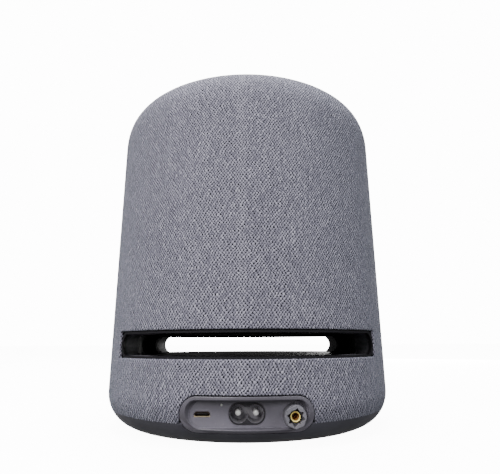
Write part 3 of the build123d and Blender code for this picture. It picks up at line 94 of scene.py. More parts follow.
# =====================================================================================
# Shader helpers
# =====================================================================================
class Shader:
    """Small builder for one material's node tree."""

    def __init__(self, name):
        self.material = bpy.data.materials.new(name)
        self.material.use_nodes = True
        self.tree = self.material.node_tree
        self.tree.nodes.clear()
        self.output = self.tree.nodes.new("ShaderNodeOutputMaterial")
        self.bsdf = self.tree.nodes.new("ShaderNodeBsdfPrincipled")
        self.tree.links.new(self.bsdf.outputs["BSDF"], self.output.inputs["Surface"])

    def node(self, kind, **settings):
        made = self.tree.nodes.new(kind)
        for key, value in settings.items():
            setattr(made, key, value)
        return made

    def link(self, source, target):
        self.tree.links.new(source, target)

    def feed(self, value, socket):
        """Connect a socket, or set a plain value on it."""
        if isinstance(value, bpy.types.NodeSocket):
            self.link(value, socket)
        else:
            socket.default_value = value

    def math(self, operation, first, second=0.0, third=0.0):
        made = self.node("ShaderNodeMath", operation=operation)
        for index, value in enumerate((first, second, third)):
            if index < len(made.inputs):
                self.feed(value, made.inputs[index])
        return made.outputs[0]

    def position(self):
        """Object coordinates in metres, which stay with a piece when it moves."""
        return self.node("ShaderNodeTexCoord").outputs["Object"]

    def axes(self, vector=None):
        """The three parts of a vector, of the position unless told otherwise."""
        split = self.node("ShaderNodeSeparateXYZ")
        self.link(vector if vector is not None else self.position(), split.inputs[0])
        return split.outputs["X"], split.outputs["Y"], split.outputs["Z"]

    def from_axis(self):
        """Distance from the body's upright axis."""
        made = self.node("ShaderNodeVectorMath", operation="LENGTH")
        self.link(self.stretch((1.0, 1.0, 0.0)), made.inputs[0])
        return made.outputs["Value"]

    def noise(self, scale, detail=3.0, roughness=0.55, vector=None, distortion=0.0):
        made = self.node("ShaderNodeTexNoise")
        made.inputs["Scale"].default_value = scale
        made.inputs["Detail"].default_value = detail
        made.inputs["Roughness"].default_value = roughness
        made.inputs["Distortion"].default_value = distortion
        self.link(vector if vector is not None else self.position(), made.inputs["Vector"])
        return made.outputs["Fac"]

    def stretch(self, factors, vector=None):
        """Coordinates multiplied axis by axis."""
        made = self.node("ShaderNodeVectorMath", operation="MULTIPLY")
        self.link(vector if vector is not None else self.position(), made.inputs[0])
        made.inputs[1].default_value = factors
        return made.outputs[0]

    def ramp(self, value, stops):
        """Colours blended between (place, shade) stops."""
        made = self.node("ShaderNodeValToRGB")
        elements = made.color_ramp.elements
        while len(elements) < len(stops):
            elements.new(0.5)
        for element, (place, shade) in zip(elements, stops):
            element.position = place
            element.color = (*shade, 1.0)
        self.link(value, made.inputs["Fac"])
        return made.outputs["Color"]

    def spread(self, value, low, high, from_low=0.0, from_high=1.0):
        """Map one range of a number to another, held at both ends."""
        made = self.node("ShaderNodeMapRange")
        self.link(value, made.inputs["Value"])
        made.inputs["From Min"].default_value = from_low
        made.inputs["From Max"].default_value = from_high
        made.inputs["To Min"].default_value = low
        made.inputs["To Max"].default_value = high
        return made.outputs["Result"]

    def mix(self, factor, first, second, blend="MIX"):
        made = self.node("ShaderNodeMix", data_type="RGBA", blend_type=blend)
        self.feed(factor, made.inputs["Factor"])
        for value, name in ((first, "A"), (second, "B")):
            socket = [s for s in made.inputs if s.name == name and s.type == "RGBA"][0]
            if isinstance(value, bpy.types.NodeSocket):
                self.link(value, socket)
            else:
                socket.default_value = (*value, 1.0)
        return [s for s in made.outputs if s.type == "RGBA"][0]

    def mottle(self, pattern, first, second, most=0.6):
        """One shade drifting towards another where a noise pattern is high."""
        return self.mix(self.spread(pattern, 0.0, most, 0.3, 0.7), first, second)

    def bump(self, height, distance, strength=1.0, under=None):
        made = self.node("ShaderNodeBump")
        made.inputs["Distance"].default_value = distance
        made.inputs["Strength"].default_value = strength
        self.link(height, made.inputs["Height"])
        if under is not None:
            self.link(under, made.inputs["Normal"])
        return made.outputs["Normal"]

    def settle(self, **sockets):
        """Set or link the Principled shader's sockets by name, with _ for a space."""
        for key, value in sockets.items():
            name = key.replace("_", " ")
            socket = self.bsdf.inputs[name]
            if isinstance(value, bpy.types.NodeSocket):
                self.link(value, socket)
            elif isinstance(value, tuple) and len(value) == 3:
                socket.default_value = (*value, 1.0) if socket.type == "RGBA" else value
            else:
                socket.default_value = value
        return self.material


BLACK = (0, 0, 0)
WHITE = (1, 1, 1)
DUST = (0.42, 0.41, 0.40)
FLOW_LIGHTER = 1.22
FLOW_LIFT = 0.004
FLOW_DARKER = 0.82


def moulded_plastic(
    name,
    shade,
    roughness=0.45,
    grain=2600.0,
    grain_depth=0.02,
    dust=0.15,
    coat=0.0,
    gloss=0.35,
    edge=0.15,
    tint=None,
):
    """Injection-moulded plastic: spark-eroded grain, faint flow tone, dust and handling marks.

    grain_depth and edge, the rounding shown along sharp edges, are in millimetres. tint is a
    function that gives a colour to multiply the plastic by.
    """
    s = Shader(name)
    flow = s.noise(35.0, detail=4.0)
    fine = s.noise(grain, detail=2.0, roughness=0.6)
    specks = s.ramp(s.noise(900.0, detail=3.0, roughness=0.7), [(0.60, BLACK), (0.78, WHITE)])
    light = tuple(min(1.0, c * FLOW_LIGHTER + FLOW_LIFT) for c in shade)
    dark = tuple(c * FLOW_DARKER for c in shade)
    tone = s.mottle(flow, dark, light, most=1.0)
    dust_and_painted_light = s.mix(s.math("MULTIPLY", specks, dust), tone, DUST)
    # tint can paint light on: the port panel's tint paints its recess floor lighter than its walls and rim
    if tint is not None:
        dust_and_painted_light = s.mix(1.0, dust_and_painted_light, tint(s), "MULTIPLY")
    scuffs = s.noise(60.0, detail=6.0, roughness=0.7, vector=s.stretch((1.0, 1.0, 3.0)))
    polish = s.spread(scuffs, roughness - 0.10, roughness + 0.12, 0.3, 0.7)
    rounded = s.node("ShaderNodeBevel", samples=4)
    rounded.inputs["Radius"].default_value = edge * MM
    normal = s.bump(fine, grain_depth * MM, 0.9, rounded.outputs[0])
    s.settle(Coat_Weight=coat, Specular_IOR_Level=gloss)
    return s.settle(Base_Color=dust_and_painted_light, Roughness=polish, Normal=normal)


def recess_painted_light(s):
    """Painted light on the port panel: the recess floor is painted lighter than its walls and rim, as if
    more light fell on it.
    """
    plain = (0.60, 0.60, 0.60)
    depth = s.axes()[1]
    on_floor = s.spread(depth, 1.0, 0.0, PORT_FLOOR_Y, PORT_FLOOR_Y + PORT_BLEND)
    on_rim = s.spread(s.from_axis(), 0.0, 1.0, PORT_RIM_RADIUS - PORT_BLEND, PORT_RIM_RADIUS)
    return s.mix(on_rim, s.mix(on_floor, plain, WHITE), plain)


def plated_metal(name, shade, roughness, brushed=(1.0, 1.0, 1.0), metallic=1.0):
    """Plated or bare metal with fine tool marks and slight tarnish."""
    s = Shader(name)
    marks = s.noise(1500.0, detail=3.0, vector=s.stretch(brushed))
    tarnish = s.noise(180.0, detail=5.0, roughness=0.65)
    darker_tone = tuple(c * 0.72 for c in shade)
    tone = s.mix(s.spread(tarnish, 0.0, 0.8, 0.4, 0.75), shade, darker_tone)
    gloss = s.spread(marks, roughness - 0.05, roughness + 0.10, 0.3, 0.7)
    s.settle(Metallic=metallic)
    return s.settle(Base_Color=tone, Roughness=gloss, Normal=s.bump(marks, 0.01 * MM, 0.6))


def rubber(name, shade, roughness=0.75):
    """Soft moulded rubber with fine matte grain and trodden-in dust."""
    s = Shader(name)
    fine = s.noise(1800.0, detail=3.0)
    dirt = s.ramp(s.noise(220.0, detail=6.0, roughness=0.7), [(0.45, BLACK), (0.75, WHITE)])
    tone = s.mix(s.math("MULTIPLY", dirt, 0.12), shade, (0.30, 0.28, 0.26))
    gloss = s.spread(dirt, roughness - 0.08, roughness + 0.1)
    s.settle(Specular_IOR_Level=0.35)
    return s.settle(Base_Color=tone, Roughness=gloss, Normal=s.bump(fine, 0.03 * MM, 0.8))


def circuit_board(name):
    """Green solder mask with copper tracks showing through."""
    s = Shader(name)
    brick = s.node("ShaderNodeTexBrick", offset=0.37, squash=1.0)
    brick.inputs["Scale"].default_value = 260.0
    brick.inputs["Mortar Size"].default_value = 0.035
    brick.inputs["Color1"].default_value = (0.010, 0.085, 0.038, 1.0)
    brick.inputs["Color2"].default_value = (0.014, 0.105, 0.048, 1.0)
    brick.inputs["Mortar"].default_value = (0.030, 0.170, 0.075, 1.0)
    s.link(s.position(), brick.inputs["Vector"])
    mottled = s.mix(s.spread(s.noise(400.0), 0.0, 0.35), brick.outputs["Color"], (0.02, 0.06, 0.03))
    gloss = s.spread(s.noise(300.0), 0.25, 0.42)
    raised = s.bump(brick.outputs["Fac"], -0.03 * MM, 0.5)
    return s.settle(Base_Color=mottled, Roughness=gloss, Normal=raised)


CLOTH_THREADS = 12000.0
WIRE_TURNS = 14000.0


def coated_cloth(name, shade):
    """Resin-treated loudspeaker cloth: a tight square weave under a soft coating."""
    s = Shader(name)
    x, y, z = s.axes()
    warp = s.math("SINE", s.math("MULTIPLY", x, CLOTH_THREADS))
    weft = s.math("SINE", s.math("MULTIPLY", s.math("ADD", y, z), CLOTH_THREADS))
    height = s.spread(s.math("MULTIPLY", warp, weft), 0.0, 1.0, -1.0, 1.0)
    dark = tuple(c * 0.55 for c in shade)
    # painted shade: the cloth is darker where the threads dip
    tone = s.mix(height, dark, shade)
    darkened = s.mix(s.spread(s.noise(90.0), 0.0, 0.3), tone, dark)
    dry = s.spread(height, 0.6, 0.85)
    return s.settle(Base_Color=darkened, Roughness=dry, Normal=s.bump(height, 0.06 * MM, 0.7))


def cone_paper(name, shade):
    """Coated pulp cone with pressed fibres."""
    s = Shader(name)
    fibre = s.noise(700.0, detail=6.0, roughness=0.7, distortion=0.6)
    dark = tuple(c * 0.6 for c in shade)
    tone = s.mottle(fibre, dark, shade, most=1.0)
    dry = s.spread(fibre, 0.5, 0.75)
    return s.settle(Base_Color=tone, Roughness=dry, Normal=s.bump(fibre, 0.08 * MM, 0.7))


def wound_wire(name, shade):
    """Close-wound enamelled wire, or tape laid in turns, round an upright axis."""
    s = Shader(name)
    turns = s.math("SINE", s.math("MULTIPLY", s.axes()[2], WIRE_TURNS))
    height = s.spread(turns, 0.0, 1.0, -1.0, 1.0)
    # painted shade: the wire is darker between the turns
    tone = s.mix(height, tuple(c * 0.4 for c in shade), shade)
    gloss = s.spread(s.noise(500.0), 0.25, 0.45)
    s.settle(Metallic=0.6)
    return s.settle(Base_Color=tone, Roughness=gloss, Normal=s.bump(height, 0.08 * MM, 0.8))


def frosted_light(name, shade):
    """Frosted diffuser of the light ring and the status light."""
    s = Shader(name)
    haze = s.noise(500.0, detail=3.0)
    tone = s.mix(s.spread(haze, 0.0, 0.5), shade, tuple(c * 0.8 for c in shade))
    gloss = s.spread(haze, 0.32, 0.5)
    s.settle(Subsurface_Weight=0.35, Subsurface_Radius=(0.004, 0.004, 0.004), Subsurface_Scale=1.0)
    return s.settle(Base_Color=tone, Roughness=gloss, Normal=s.bump(haze, 0.02 * MM, 0.5))


def slot_lining(name):
    """Satin black lining of the bass slot, with painted light: the end walls of its rear half, off the
    lip, are painted grey for their soft highlight.
    """
    s = Shader(name)
    x, y, _ = s.axes()
    off_lip = s.spread(s.from_axis(), 1.0, 0.0, SLOT_LIP_RADIUS - SLOT_LIP_BLEND, SLOT_LIP_RADIUS)
    at_ends = s.spread(s.math("ABSOLUTE", x), 0.0, 1.0, SLOT_END_X - SLOT_END_BLEND, SLOT_END_X)
    rear_half = s.spread(y, 0.0, 1.0, 0.0, SLOT_REAR_Y)
    # painted light: grey on the end walls of the rear half, away from the lip, stands in for their
    # highlight
    painted_light_on_ends = s.math("MULTIPLY", s.math("MULTIPLY", rear_half, at_ends), off_lip)
    grain = s.noise(2600.0, detail=3.0)
    scuffs = s.noise(260.0, detail=5.0)
    black = s.mottle(scuffs, (0.010, 0.010, 0.012), (0.016, 0.015, 0.018))
    grey = s.mottle(scuffs, (0.140, 0.135, 0.155), (0.110, 0.106, 0.122))
    tone = s.mix(painted_light_on_ends, black, grey)
    polish = s.spread(scuffs, 0.58, 0.74, 0.3, 0.7)
    s.settle(Specular_IOR_Level=0.08)
    return s.settle(Base_Color=tone, Roughness=polish, Normal=s.bump(grain, 0.02 * MM, 0.9))


def socket_body(name):
    """Black face of the mains inlet with painted light in its well, painted grey and lighter towards the
    top, and the black tongue of the micro-USB socket.
    """
    s = Shader(name)
    x, y, z = s.axes()
    at_face = s.spread(y, 0.0, 1.0, INLET_WELL_Y, INLET_FACE_Y)
    beyond_inlet = s.spread(s.math("ABSOLUTE", x), 0.0, 1.0, INLET_REACH, INLET_REACH + 2 * MM)
    grain = s.noise(2400.0, detail=3.0)
    scuffs = s.noise(220.0, detail=5.0)
    painted_lit_top = s.mottle(scuffs, (0.500, 0.486, 0.520), (0.410, 0.398, 0.430), most=0.7)
    # painted light: the well is painted grey, lighter towards the top, to even out the shade in it
    well = s.mix(s.spread(z, 0.0, 1.0, INLET_LOW_Z, INLET_HIGH_Z), (0.200, 0.193, 0.215), painted_lit_top)
    face = s.mottle(scuffs, (0.018, 0.017, 0.021), (0.026, 0.025, 0.030))
    tone = s.mix(beyond_inlet, s.mix(at_face, well, face), (0.012, 0.010, 0.010))
    s.settle(Specular_IOR_Level=0.3)
    polish = s.spread(scuffs, 0.36, 0.55)
    return s.settle(Base_Color=tone, Roughness=polish, Normal=s.bump(grain, 0.02 * MM, 0.9))


def tarnished_shell(name):
    """Tin-plated shell with painted light and shade: painted bright along its lower lip and painted dark
    above.
    """
    s = Shader(name)
    painted_shade_above = s.spread(s.axes()[2], 0.0, 1.0, USB_BRIGHT_Z, USB_DARK_Z)
    smear = s.noise(1600.0, detail=4.0)
    painted_lit_lip = s.mix(s.spread(smear, 0.0, 0.6), (0.95, 0.80, 0.56), (0.72, 0.58, 0.38))
    darker_tone = s.mix(s.spread(smear, 0.0, 0.6), (0.10, 0.075, 0.065), (0.05, 0.036, 0.032))
    tone = s.mix(painted_shade_above, painted_lit_lip, darker_tone)
    polish = s.spread(smear, 0.26, 0.44)
    s.settle(Metallic=1.0)
    return s.settle(Base_Color=tone, Roughness=polish, Normal=s.bump(smear, 0.01 * MM, 0.5))


def gold_barrel(name):
    """Gold plating, bright at the mouth of the barrel and painted darker brown down the bore as shade."""
    s = Shader(name)
    near_mouth = s.spread(s.axes()[1], 0.0, 1.0, BARREL_DARK_Y, BARREL_BRIGHT_Y)
    smear = s.noise(900.0, detail=4.0)
    mouth = s.mix(s.spread(smear, 0.0, 0.5), (1.0, 0.86, 0.30), (1.0, 0.74, 0.20))
    darkened = s.mix(s.spread(smear, 0.0, 0.6), (0.80, 0.50, 0.24), (0.52, 0.30, 0.14))
    tone = s.mix(near_mouth, darkened, mouth)
    polish = s.spread(smear, 0.32, 0.50)
    s.settle(Metallic=0.2)
    return s.settle(Base_Color=tone, Roughness=polish, Normal=s.bump(smear, 0.01 * MM, 0.5))


YARN_DARK = (0.096, 0.092, 0.123)
YARN_LIGHT = (0.318, 0.307, 0.373)
YARN_GLINT = (0.640, 0.625, 0.715)
PIT_BLACK = (0.010, 0.010, 0.015)
WANDER_SCALE = 0.2
WANDER_STITCHES = 1.7


def knit_fabric(name):
    """Staggered heathered knit: diagonal yarns over a lattice of dark pits.

    The weave map counts stitches round the body and rows up it, so the pattern keeps its size
    and direction over the whole sleeve.
    """
    s = Shader(name)
    weave_map = s.node("ShaderNodeUVMap", uv_map="weave").outputs["UV"]

    def flat_noise(scale, detail, roughness, vector, output="Fac"):
        made = s.node("ShaderNodeTexNoise", noise_dimensions="2D")
        made.inputs["Scale"].default_value = scale
        made.inputs["Detail"].default_value = detail
        made.inputs["Roughness"].default_value = roughness
        s.link(vector, made.inputs["Vector"])
        return made.outputs[output]

    def chance(first, second):
        """Random number that is the same all over one cell of the lattice."""
        cell = s.node("ShaderNodeCombineXYZ")
        s.link(first, cell.inputs["X"])
        s.link(second, cell.inputs["Y"])
        made = s.node("ShaderNodeTexWhiteNoise", noise_dimensions="2D")
        s.link(cell.outputs[0], made.inputs["Vector"])
        split = s.node("ShaderNodeSeparateColor")
        s.link(made.outputs["Color"], split.inputs[0])
        return split.outputs[0], split.outputs[1], split.outputs[2]

    def choose(test, when_one, when_zero):
        """Blend two numbers by a third from 0 to 1."""
        gap = s.math("SUBTRACT", when_one, when_zero)
        return s.math("MULTIPLY_ADD", test, gap, when_zero)

    # the rows wander a little, as knitting stretched over a form does
    wander = s.node("ShaderNodeVectorMath", operation="SUBTRACT")
    s.link(flat_noise(WANDER_SCALE, 4.0, 0.6, weave_map, "Color"), wander.inputs[0])
    wander.inputs[1].default_value = (0.5, 0.5, 0.5)
    scaled = s.node("ShaderNodeVectorMath", operation="SCALE")
    s.link(wander.outputs[0], scaled.inputs[0])
    scaled.inputs["Scale"].default_value = WANDER_STITCHES
    moved = s.node("ShaderNodeVectorMath", operation="ADD")
    s.link(weave_map, moved.inputs[0])
    s.link(scaled.outputs[0], moved.inputs[1])
    stitches, rows, _ = s.axes(moved.outputs[0])
    half_rows = s.math("MULTIPLY", rows, 0.5)
    falling = s.math("SUBTRACT", stitches, half_rows)
    rising = s.math("ADD", stitches, half_rows)
    # pits lie where both diagonal counts are whole numbers
    ridge_a = s.math("ABSOLUTE", s.math("SINE", s.math("MULTIPLY", falling, math.pi)))
    ridge_b = s.math("ABSOLUTE", s.math("SINE", s.math("MULTIPLY", rising, math.pi)))
    tone, lean, sparkle = chance(s.math("FLOOR", falling), s.math("FLOOR", rising))
    pit_depth = chance(s.math("ROUND", falling), s.math("ROUND", rising))[0]
    leans = s.math("GREATER_THAN", lean, 0.5)
    along = choose(leans, ridge_a, ridge_b)
    across = choose(leans, ridge_b, ridge_a)
    crest = s.math("MULTIPLY_ADD", along, 0.45, 0.55)
    yarn_crown = s.math("MULTIPLY", s.math("POWER", across, 0.8), crest)
    open_a = s.math("SUBTRACT", 1.0, ridge_a)
    open_b = s.math("SUBTRACT", 1.0, ridge_b)
    shade = s.math("POWER", s.math("MULTIPLY", open_a, open_b), 0.75)
    # the knit is pulled a little more open over the two sides of the body
    angle = s.math("MULTIPLY", stitches, 2 * math.pi / STITCHES_ROUND)
    sideways = s.math("ABSOLUTE", s.math("SINE", angle))
    pull = s.spread(sideways, 1.0, 2.4, 0.40, 0.95)
    opened = s.math("MULTIPLY", s.spread(pit_depth, 0.5, 1.55), pull)
    pit = s.math("MULTIPLY", shade, opened)
    height = s.math("SUBTRACT", s.math("MULTIPLY", yarn_crown, 0.7), pit)
    # yarn lots, handling and fibres
    blotch = flat_noise(0.09, 5.0, 0.7, s.stretch((1.0, 0.6, 1.0), weave_map))
    fibre = flat_noise(5.0, 3.0, 0.75, s.stretch((1.0, 0.62, 1.0), weave_map))
    # a faint lighter rib runs up the middle of the rear
    from_rib = s.math("ABSOLUTE", s.math("SUBTRACT", stitches, RIB_STITCH))
    rib = s.spread(from_rib, 0.10, 0.0, 0.6, 1.7)
    base = s.mix(s.spread(tone, 0.30, 1.0), YARN_DARK, YARN_LIGHT)
    # painted glints: lighter yarn on random crowns stands in for highlights
    glint = s.math("MULTIPLY", s.spread(sparkle, 0.0, 0.42, 0.66, 1.0), yarn_crown)
    painted_glints = s.mix(glint, base, YARN_GLINT)
    lot = s.mix(s.spread(blotch, 0.0, 0.16, 0.36, 0.66), painted_glints, YARN_DARK)
    ribbed = s.mix(rib, lot, YARN_GLINT)
    fuzzy = s.mix(s.spread(fibre, 0.0, 0.45, 0.35, 0.7), ribbed, YARN_DARK)
    # painted shade: the colour darkens with the relief height, in the pits and between the yarns
    painted_relief_shade = s.spread(height, 0.0, 1.0, -0.40, 0.38)
    colour = s.mix(painted_relief_shade, PIT_BLACK, fuzzy)
    relief = s.math("ADD", height, s.math("MULTIPLY", fibre, 0.35))
    normal = s.bump(relief, 0.38 * MM, 0.9)
    s.settle(Sheen_Weight=0.20, Sheen_Roughness=0.4, Sheen_Tint=(0.72, 0.84, 1.0))
    s.settle(Specular_IOR_Level=0.15)
    return s.settle(Base_Color=colour, Roughness=s.spread(fibre, 0.80, 0.95), Normal=normal)


LENGTHWISE = (1.0, 0.1, 1.0)
UPRIGHT = (1.0, 1.0, 0.08)
# each of these gives a maker that only wants the material's name
plastic = partial(partial, moulded_plastic)
metal = partial(partial, plated_metal)

MATERIAL_MAKERS = {
    # housing
    "inner_black_plastic": plastic(shade=(0.010, 0.010, 0.011), roughness=0.55, gloss=0.1),
    "slot_plastic": slot_lining,
    "deflector_gloss": plastic(shade=(0.004, 0.004, 0.004), grain_depth=0.003, dust=0.02, gloss=0.02),
    "base_plastic": plastic(shade=(0.057, 0.056, 0.069), roughness=0.42, dust=0.05, gloss=0.3),
    "foot_rubber": partial(rubber, shade=(0.012, 0.012, 0.013)),
    "screw_steel": metal(shade=(0.42, 0.42, 0.44), roughness=0.3),
    "grey_fabric": knit_fabric,
    # ports
    "panel_plastic": plastic(
        shade=(0.143, 0.135, 0.162), roughness=0.36, grain=3200.0, dust=0.16, edge=0.3, tint=recess_painted_light
    ),
    "inlet_black": socket_body,
    "pin_nickel": metal(shade=(0.96, 0.95, 0.93), roughness=0.24, brushed=LENGTHWISE, metallic=0.15),
    "usb_metal": tarnished_shell,
    "collar_plastic": plastic(shade=(0.110, 0.107, 0.122), roughness=0.34, edge=0.25),
    "jack_gold": gold_barrel,
    "light_pipe": partial(frosted_light, shade=(0.80, 0.81, 0.78)),
    # boards
    "circuit_board": circuit_board,
    "transformer_tape": partial(wound_wire, shade=(0.62, 0.48, 0.06)),
    "capacitor_sleeve": plastic(shade=(0.020, 0.024, 0.045), roughness=0.25, grain_depth=0.004),
    "sink_aluminium": metal(shade=(0.66, 0.67, 0.69), roughness=0.35, brushed=UPRIGHT),
    # top
    "light_diffuser": partial(frosted_light, shade=(0.36, 0.39, 0.42)),
    "trim_plastic": plastic(shade=(0.012, 0.012, 0.015), roughness=0.30, dust=0.06, edge=0.3),
    "top_plastic": plastic(
        shade=(0.018, 0.018, 0.022), roughness=0.46, grain=2200.0, grain_depth=0.03, dust=0.06
    ),
    "button_plastic": plastic(
        shade=(0.024, 0.024, 0.029), roughness=0.42, grain=2200.0, dust=0.05, edge=0.25
    ),
    # drivers
    "basket_steel": plastic(shade=(0.014, 0.014, 0.015), roughness=0.4, coat=0.2),
    "motor_steel": metal(shade=(0.52, 0.53, 0.56), roughness=0.38),
    "ferrite": plastic(shade=(0.060, 0.060, 0.064), roughness=0.65, grain=900.0, grain_depth=0.06),
    "surround_rubber": partial(rubber, shade=(0.010, 0.010, 0.010), roughness=0.6),
    "spider_cloth": partial(coated_cloth, shade=(0.55, 0.40, 0.12)),
    "cone_pulp": partial(cone_paper, shade=(0.030, 0.030, 0.033)),
    "coil_copper": partial(wound_wire, shade=(0.72, 0.32, 0.12)),
    "dome_cloth": partial(coated_cloth, shade=(0.050, 0.050, 0.056)),
}
materials = {slot: maker(slot) for slot, maker in MATERIAL_MAKERS.items()}
mark_paint = moulded_plastic("mark_paint", (0.30, 0.30, 0.32), 0.5, grain_depth=0.01, dust=0.1)


def dress_cad_nodes():
    """Give every CAD node the material of its slot."""
    for entry in frame["record"]["subparts"]:
        node = nodes[entry["node"]]
        node.data.materials.clear()
        node.data.materials.append(materials[entry["material_slot"]])


# =====================================================================================
# Fabric sleeve
# =====================================================================================
BASE_STEPS = 24
SHOULDER_STEPS = 60


def sleeve_profile():
    """Points up the sleeve's outer face as (radius, height)."""
    round_centre = BODY_R - BASE_ROUND
    start = math.asin((BASE_ROUND - SEAM_Z) / BASE_ROUND)
    shoulder_z = BODY_TOP - SHOULDER_DROP
    points = []
    for i in range(BASE_STEPS + 1):
        a = -start + start * i / BASE_STEPS
        points.append((round_centre + BASE_ROUND * math.cos(a), BASE_ROUND + BASE_ROUND * math.sin(a)))
    points.append((BODY_R, shoulder_z))
    handles = (
        (BODY_R, shoulder_z),
        (BODY_R, shoulder_z + SHOULDER_FULLNESS * SHOULDER_DROP),
        (CREST_R + SHOULDER_FULLNESS * (BODY_R - CREST_R), BODY_TOP),
        (CREST_R, BODY_TOP),
    )
    for i in range(1, SHOULDER_STEPS + 1):
        t = i / SHOULDER_STEPS
        weights = ((1 - t) ** 3, 3 * t * (1 - t) ** 2, 3 * t * t * (1 - t), t**3)
        points.append(tuple(sum(w * h[k] for w, h in zip(weights, handles)) for k in (0, 1)))
    return np.array(points)


profile = sleeve_profile()
profile_length = np.concatenate([[0.0], np.cumsum(np.hypot(*np.diff(profile, axis=0).T))])
SLEEVE_LENGTH = float(profile_length[-1])


def on_profile(length):
    """Radius and height at a distance up the sleeve from its lower edge."""
    radius = float(np.interp(length, profile_length, profile[:, 0]))
    height = float(np.interp(length, profile_length, profile[:, 1]))
    return radius, height


def length_at(height):
    """Distance up the sleeve at a height on its side wall."""
    return float(np.interp(height, profile[:, 1], profile_length))


def sleeve_point(turn, length):
    """Place on the sleeve. turn is in whole turns, 0 at the rear, rising towards +X."""
    radius, height = on_profile(length)
    angle = 2 * math.pi * turn
    return Vector((radius * math.sin(angle), radius * math.cos(angle), height))


def turn_at(x):
    """Share of a turn at which the side wall stands at x, to the rear."""
    return math.asin(x / BODY_R) / (2 * math.pi)


def sleeve_normal(turn, length):
    """Direction straight out of the sleeve at a place on it."""
    step = 0.2 * MM
    low = on_profile(max(length - step, 0.0))
    high = on_profile(min(length + step, SLEEVE_LENGTH))
    dr, dz = high[0] - low[0], high[1] - low[1]
    angle = 2 * math.pi * turn
    out = Vector((math.sin(angle) * dz, math.cos(angle) * dz, -dr))
    return out.normalized()


EDGE_ROLL = 0.55 * MM
EDGE_DEPTH = 1.3 * MM
ROLL_STEPS = 4
SLOT_GAP_END = 0.35 * MM
SLOT_GAP_TOP = 0.6 * MM
SLOT_OVERHANG = 0.1 * MM
PANEL_GAP = 0.45 * MM
BLOCK_HALF_WIDTH = 46 * MM
BLOCK_BELOW_SLOT = 4 * MM
BLOCK_RINGS = 7
FACE_HEIGHT = 2.4 * MM
SMALL = 1e-7


